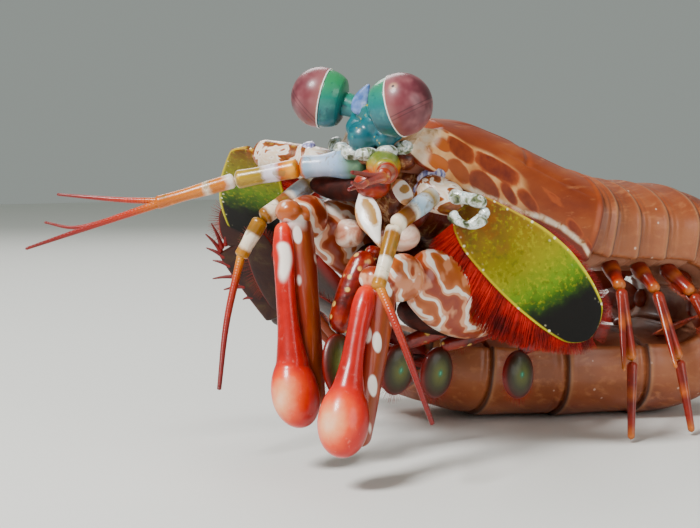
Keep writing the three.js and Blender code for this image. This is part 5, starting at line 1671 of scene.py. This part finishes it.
def tailFinish():
    skin = Finish("tailShell", roughness=0.42, coat=0.06, flesh=0.03, shine=0.25)
    base = skin.ramp(skin.noise(3.2, 4.0, wobble=0.5), "0.28 120402, 0.45 2c0a05, 0.6 34180a, 0.76 4a3c1c")
    base = skin.blend(skin.step(skin.value("rim"), 0.7, 0.95), base, "740c04")
    base = skin.blend(
        skin.value("spine"), base, skin.ramp(skin.value("along"), "0.0 800c08, 0.4 641414, 1.0 6a2c28")
    )
    base = skin.blend(skin.value("keel"), base, "8a3a1e")
    return skin.done(base, skin.grain(0.7, 4.0, 0.3, 0.2))


def telsonLine(share):
    return bodyAt(tailShape["from"] + (tailShape["to"] - tailShape["from"]) * share)


def telsonSizes(share):  # half width, and height above the line
    wide = np.where(
        share < 0.3, 10.8 + 1.6 * share / 0.3, 12.4 - 6.0 * (np.clip(share - 0.3, 0, 1) / 0.7) ** 1.7
    )
    return wide, 4.6 - 3.6 * share ** 0.8


def telsonRing(share, columns=90):
    at, _, up, side, _ = telsonLine(share)
    wide, high = telsonSizes(share)
    below = 3.4 - 2.7 * share ** 0.7
    closing = np.sqrt(np.clip(1 - ((share - 0.93) / 0.07).clip(0, 1) ** 2, 0.05, 1))
    angle = angles(columns)
    x, z = np.sin(angle), np.cos(angle)
    power = np.where(z < 0, 0.7, 0.95)
    across = squared(x, power) * (wide * (0.85 + 0.15 * closing))[:, None]
    reach = np.where(z < 0, (below * closing)[:, None], (high * closing)[:, None])
    lift = squared(z, power) * reach
    return at[:, None] + side[:, None] * across[..., None] + up[:, None] * lift[..., None], np.abs(x)


def telsonTop(share, left):
    at, _, up, side, _ = (v[0] for v in telsonLine(share))
    wide, high = telsonSizes(share)
    return at + side * left + up * high * math.sqrt(max(0, 1 - (left / wide) ** 2))


def buildTelson(finish):
    shape = Shape()
    tip = 0.93 + 0.07 * np.sin(np.linspace(0.1, 1, 12) * np.pi / 2)
    share = np.concatenate([np.linspace(0, 0.93, 60), tip])
    grid, edge = telsonRing(share)
    shape.addGrid(grid, rim=np.maximum(edge[None], ease(share, 0.9, 0.99)[:, None]), along=share[:, None])
    _, _, up, side, _ = (v[0] for v in bodyAt(148))
    for place in tailShape["keels"]:
        last = 0.9 if place == 0 else 0.84
        points = [telsonTop(t, place * (10 - 3 * t)) + up * 0.1 for t in np.linspace(0.14, last, 6)]
        addLimb(shape, points, [0.35, 0.7, 0.75, 0.6, 0.3], [0.4, 0.8, 0.85, 0.6, 0.3], side,
                marks={"keel": 1.0}, rows=40, columns=16)
    for hand in (-1, 1):
        for t, left, reach in tailShape["teeth"]:
            at, back, _, sideways, _ = (v[0] for v in telsonLine(t))
            root = at + sideways * hand * left
            tip = root + back * reach + sideways * hand * left * 0.08
            addLimb(shape, [root - back * 0.8, tip], [1.1, 0.8, 0.35, 0.12], [0.8, 0.6, 0.3, 0.12], sideways,
                    marks={"rim": 0.9}, rows=20, columns=14)
    shape.install("telsonPlate", finish, "tail", "telson")


def addFanSpines(shape, elbow, outer, flat, reach, halfAt):
    for share, aside, turn, long in fanSpines:
        turn = math.radians(turn)
        edge = elbow + outer * share * reach + flat * (halfAt(min(1, share)) - fanSizes["inset"] + aside)
        aim = flat * math.cos(turn) + outer * math.sin(turn)
        tip = edge + aim * (long + fanSizes["inset"])
        bent = (edge + tip) / 2 + (outer * math.cos(turn) - flat * math.sin(turn)) * 0.14
        addLimb(shape, [edge - aim * 0.3, bent, tip], [0.5, 0.34, 0.24, 0.1], [0.46, 0.32, 0.22, 0.1],
                np.cross(flat, outer), marks={"spine": 1.0}, rows=24, columns=12)


def buildTail():
    finish = tailFinish()
    bristle = bristleFinish("tailBristles", "5c1008", "8c2614", "b85a38")
    buildTelson(finish)
    generator = np.random.default_rng(51)
    for side, spec in fanPlaces.items():
        shape = Shape()
        elbow, outerEnd, innerEnd = (np.array(spec[k], float) for k in ("elbow", "outerEnd", "innerEnd"))
        root = bodyPoint(*spec["root"])
        outer = unit(outerEnd - elbow)
        flat = np.array(spec["flat"], float)
        flat = unit(flat - outer * (flat @ outer))
        addLimb(shape, [root, elbow + outer * 0.6], [1.8, 2.6, 2.9, 2.8], [1.2, 1.3, 1.3, 1.0], flat,
                rim=1, rows=30, columns=28)
        halfAt = lambda t: 1.9 + (fanSizes["half"] - 1.9) * np.sin(np.pi / 2 * t)
        thin = [0.45] * 4 + [0.25]
        addLimb(shape, [elbow - outer * 0.8, outerEnd], halfAt(np.linspace(0, 1, 6)), [0.55] * 6, flat,
                rim=1, rows=50, columns=32, ends=(0.4, 0.3))
        endTip = outerEnd + outer * fanSizes["endLong"] - flat * fanSizes["endAside"]
        addLimb(shape, [outerEnd - outer * 0.6 - flat * 0.7, endTip], [2.0, 2.5, 2.6, 2.3, 1.3], thin, flat,
                rim=0.8, rows=40, columns=32, ends=(0.3, 1.0))
        innerRoot = elbow - flat * 1.6
        addLimb(shape, [innerRoot, innerEnd], [1.6, 2.4, 2.7, 2.4, 1.3], [0.5] * 4 + [0.25], flat,
                rim=0.85, rows=50, columns=32, ends=(0.4, 1.0))
        addFanSpines(shape, elbow, outer, flat, np.linalg.norm(outerEnd - elbow), halfAt)
        shape.install("tailFan" + side.title(), finish, "tail", "uropod_" + side)
        spots, aims = [], []
        for start, end, half in ((outerEnd, endTip, 2.4), (innerRoot, innerEnd, 2.6)):
            axis, long = unit(end - start), np.linalg.norm(end - start)
            turn = np.linspace(-2.2, 2.2, 110)[:, None]
            middle = start + axis * long * 0.55
            spots.append(middle + axis * (np.cos(turn) * 0.43 * long) + flat * (np.sin(turn) * half * 0.93))
            aims.append(axis * np.cos(turn) + flat * np.sin(turn) + generator.normal(0, 0.07, (len(turn), 3)))
        lean = np.cross(outer, flat)
        growBristles(
            "tailBristles" + side.title(), np.vstack(spots), np.vstack(aims), lean, 2.2, bristle, "tail"
        )


buildTail()
print("tail done")
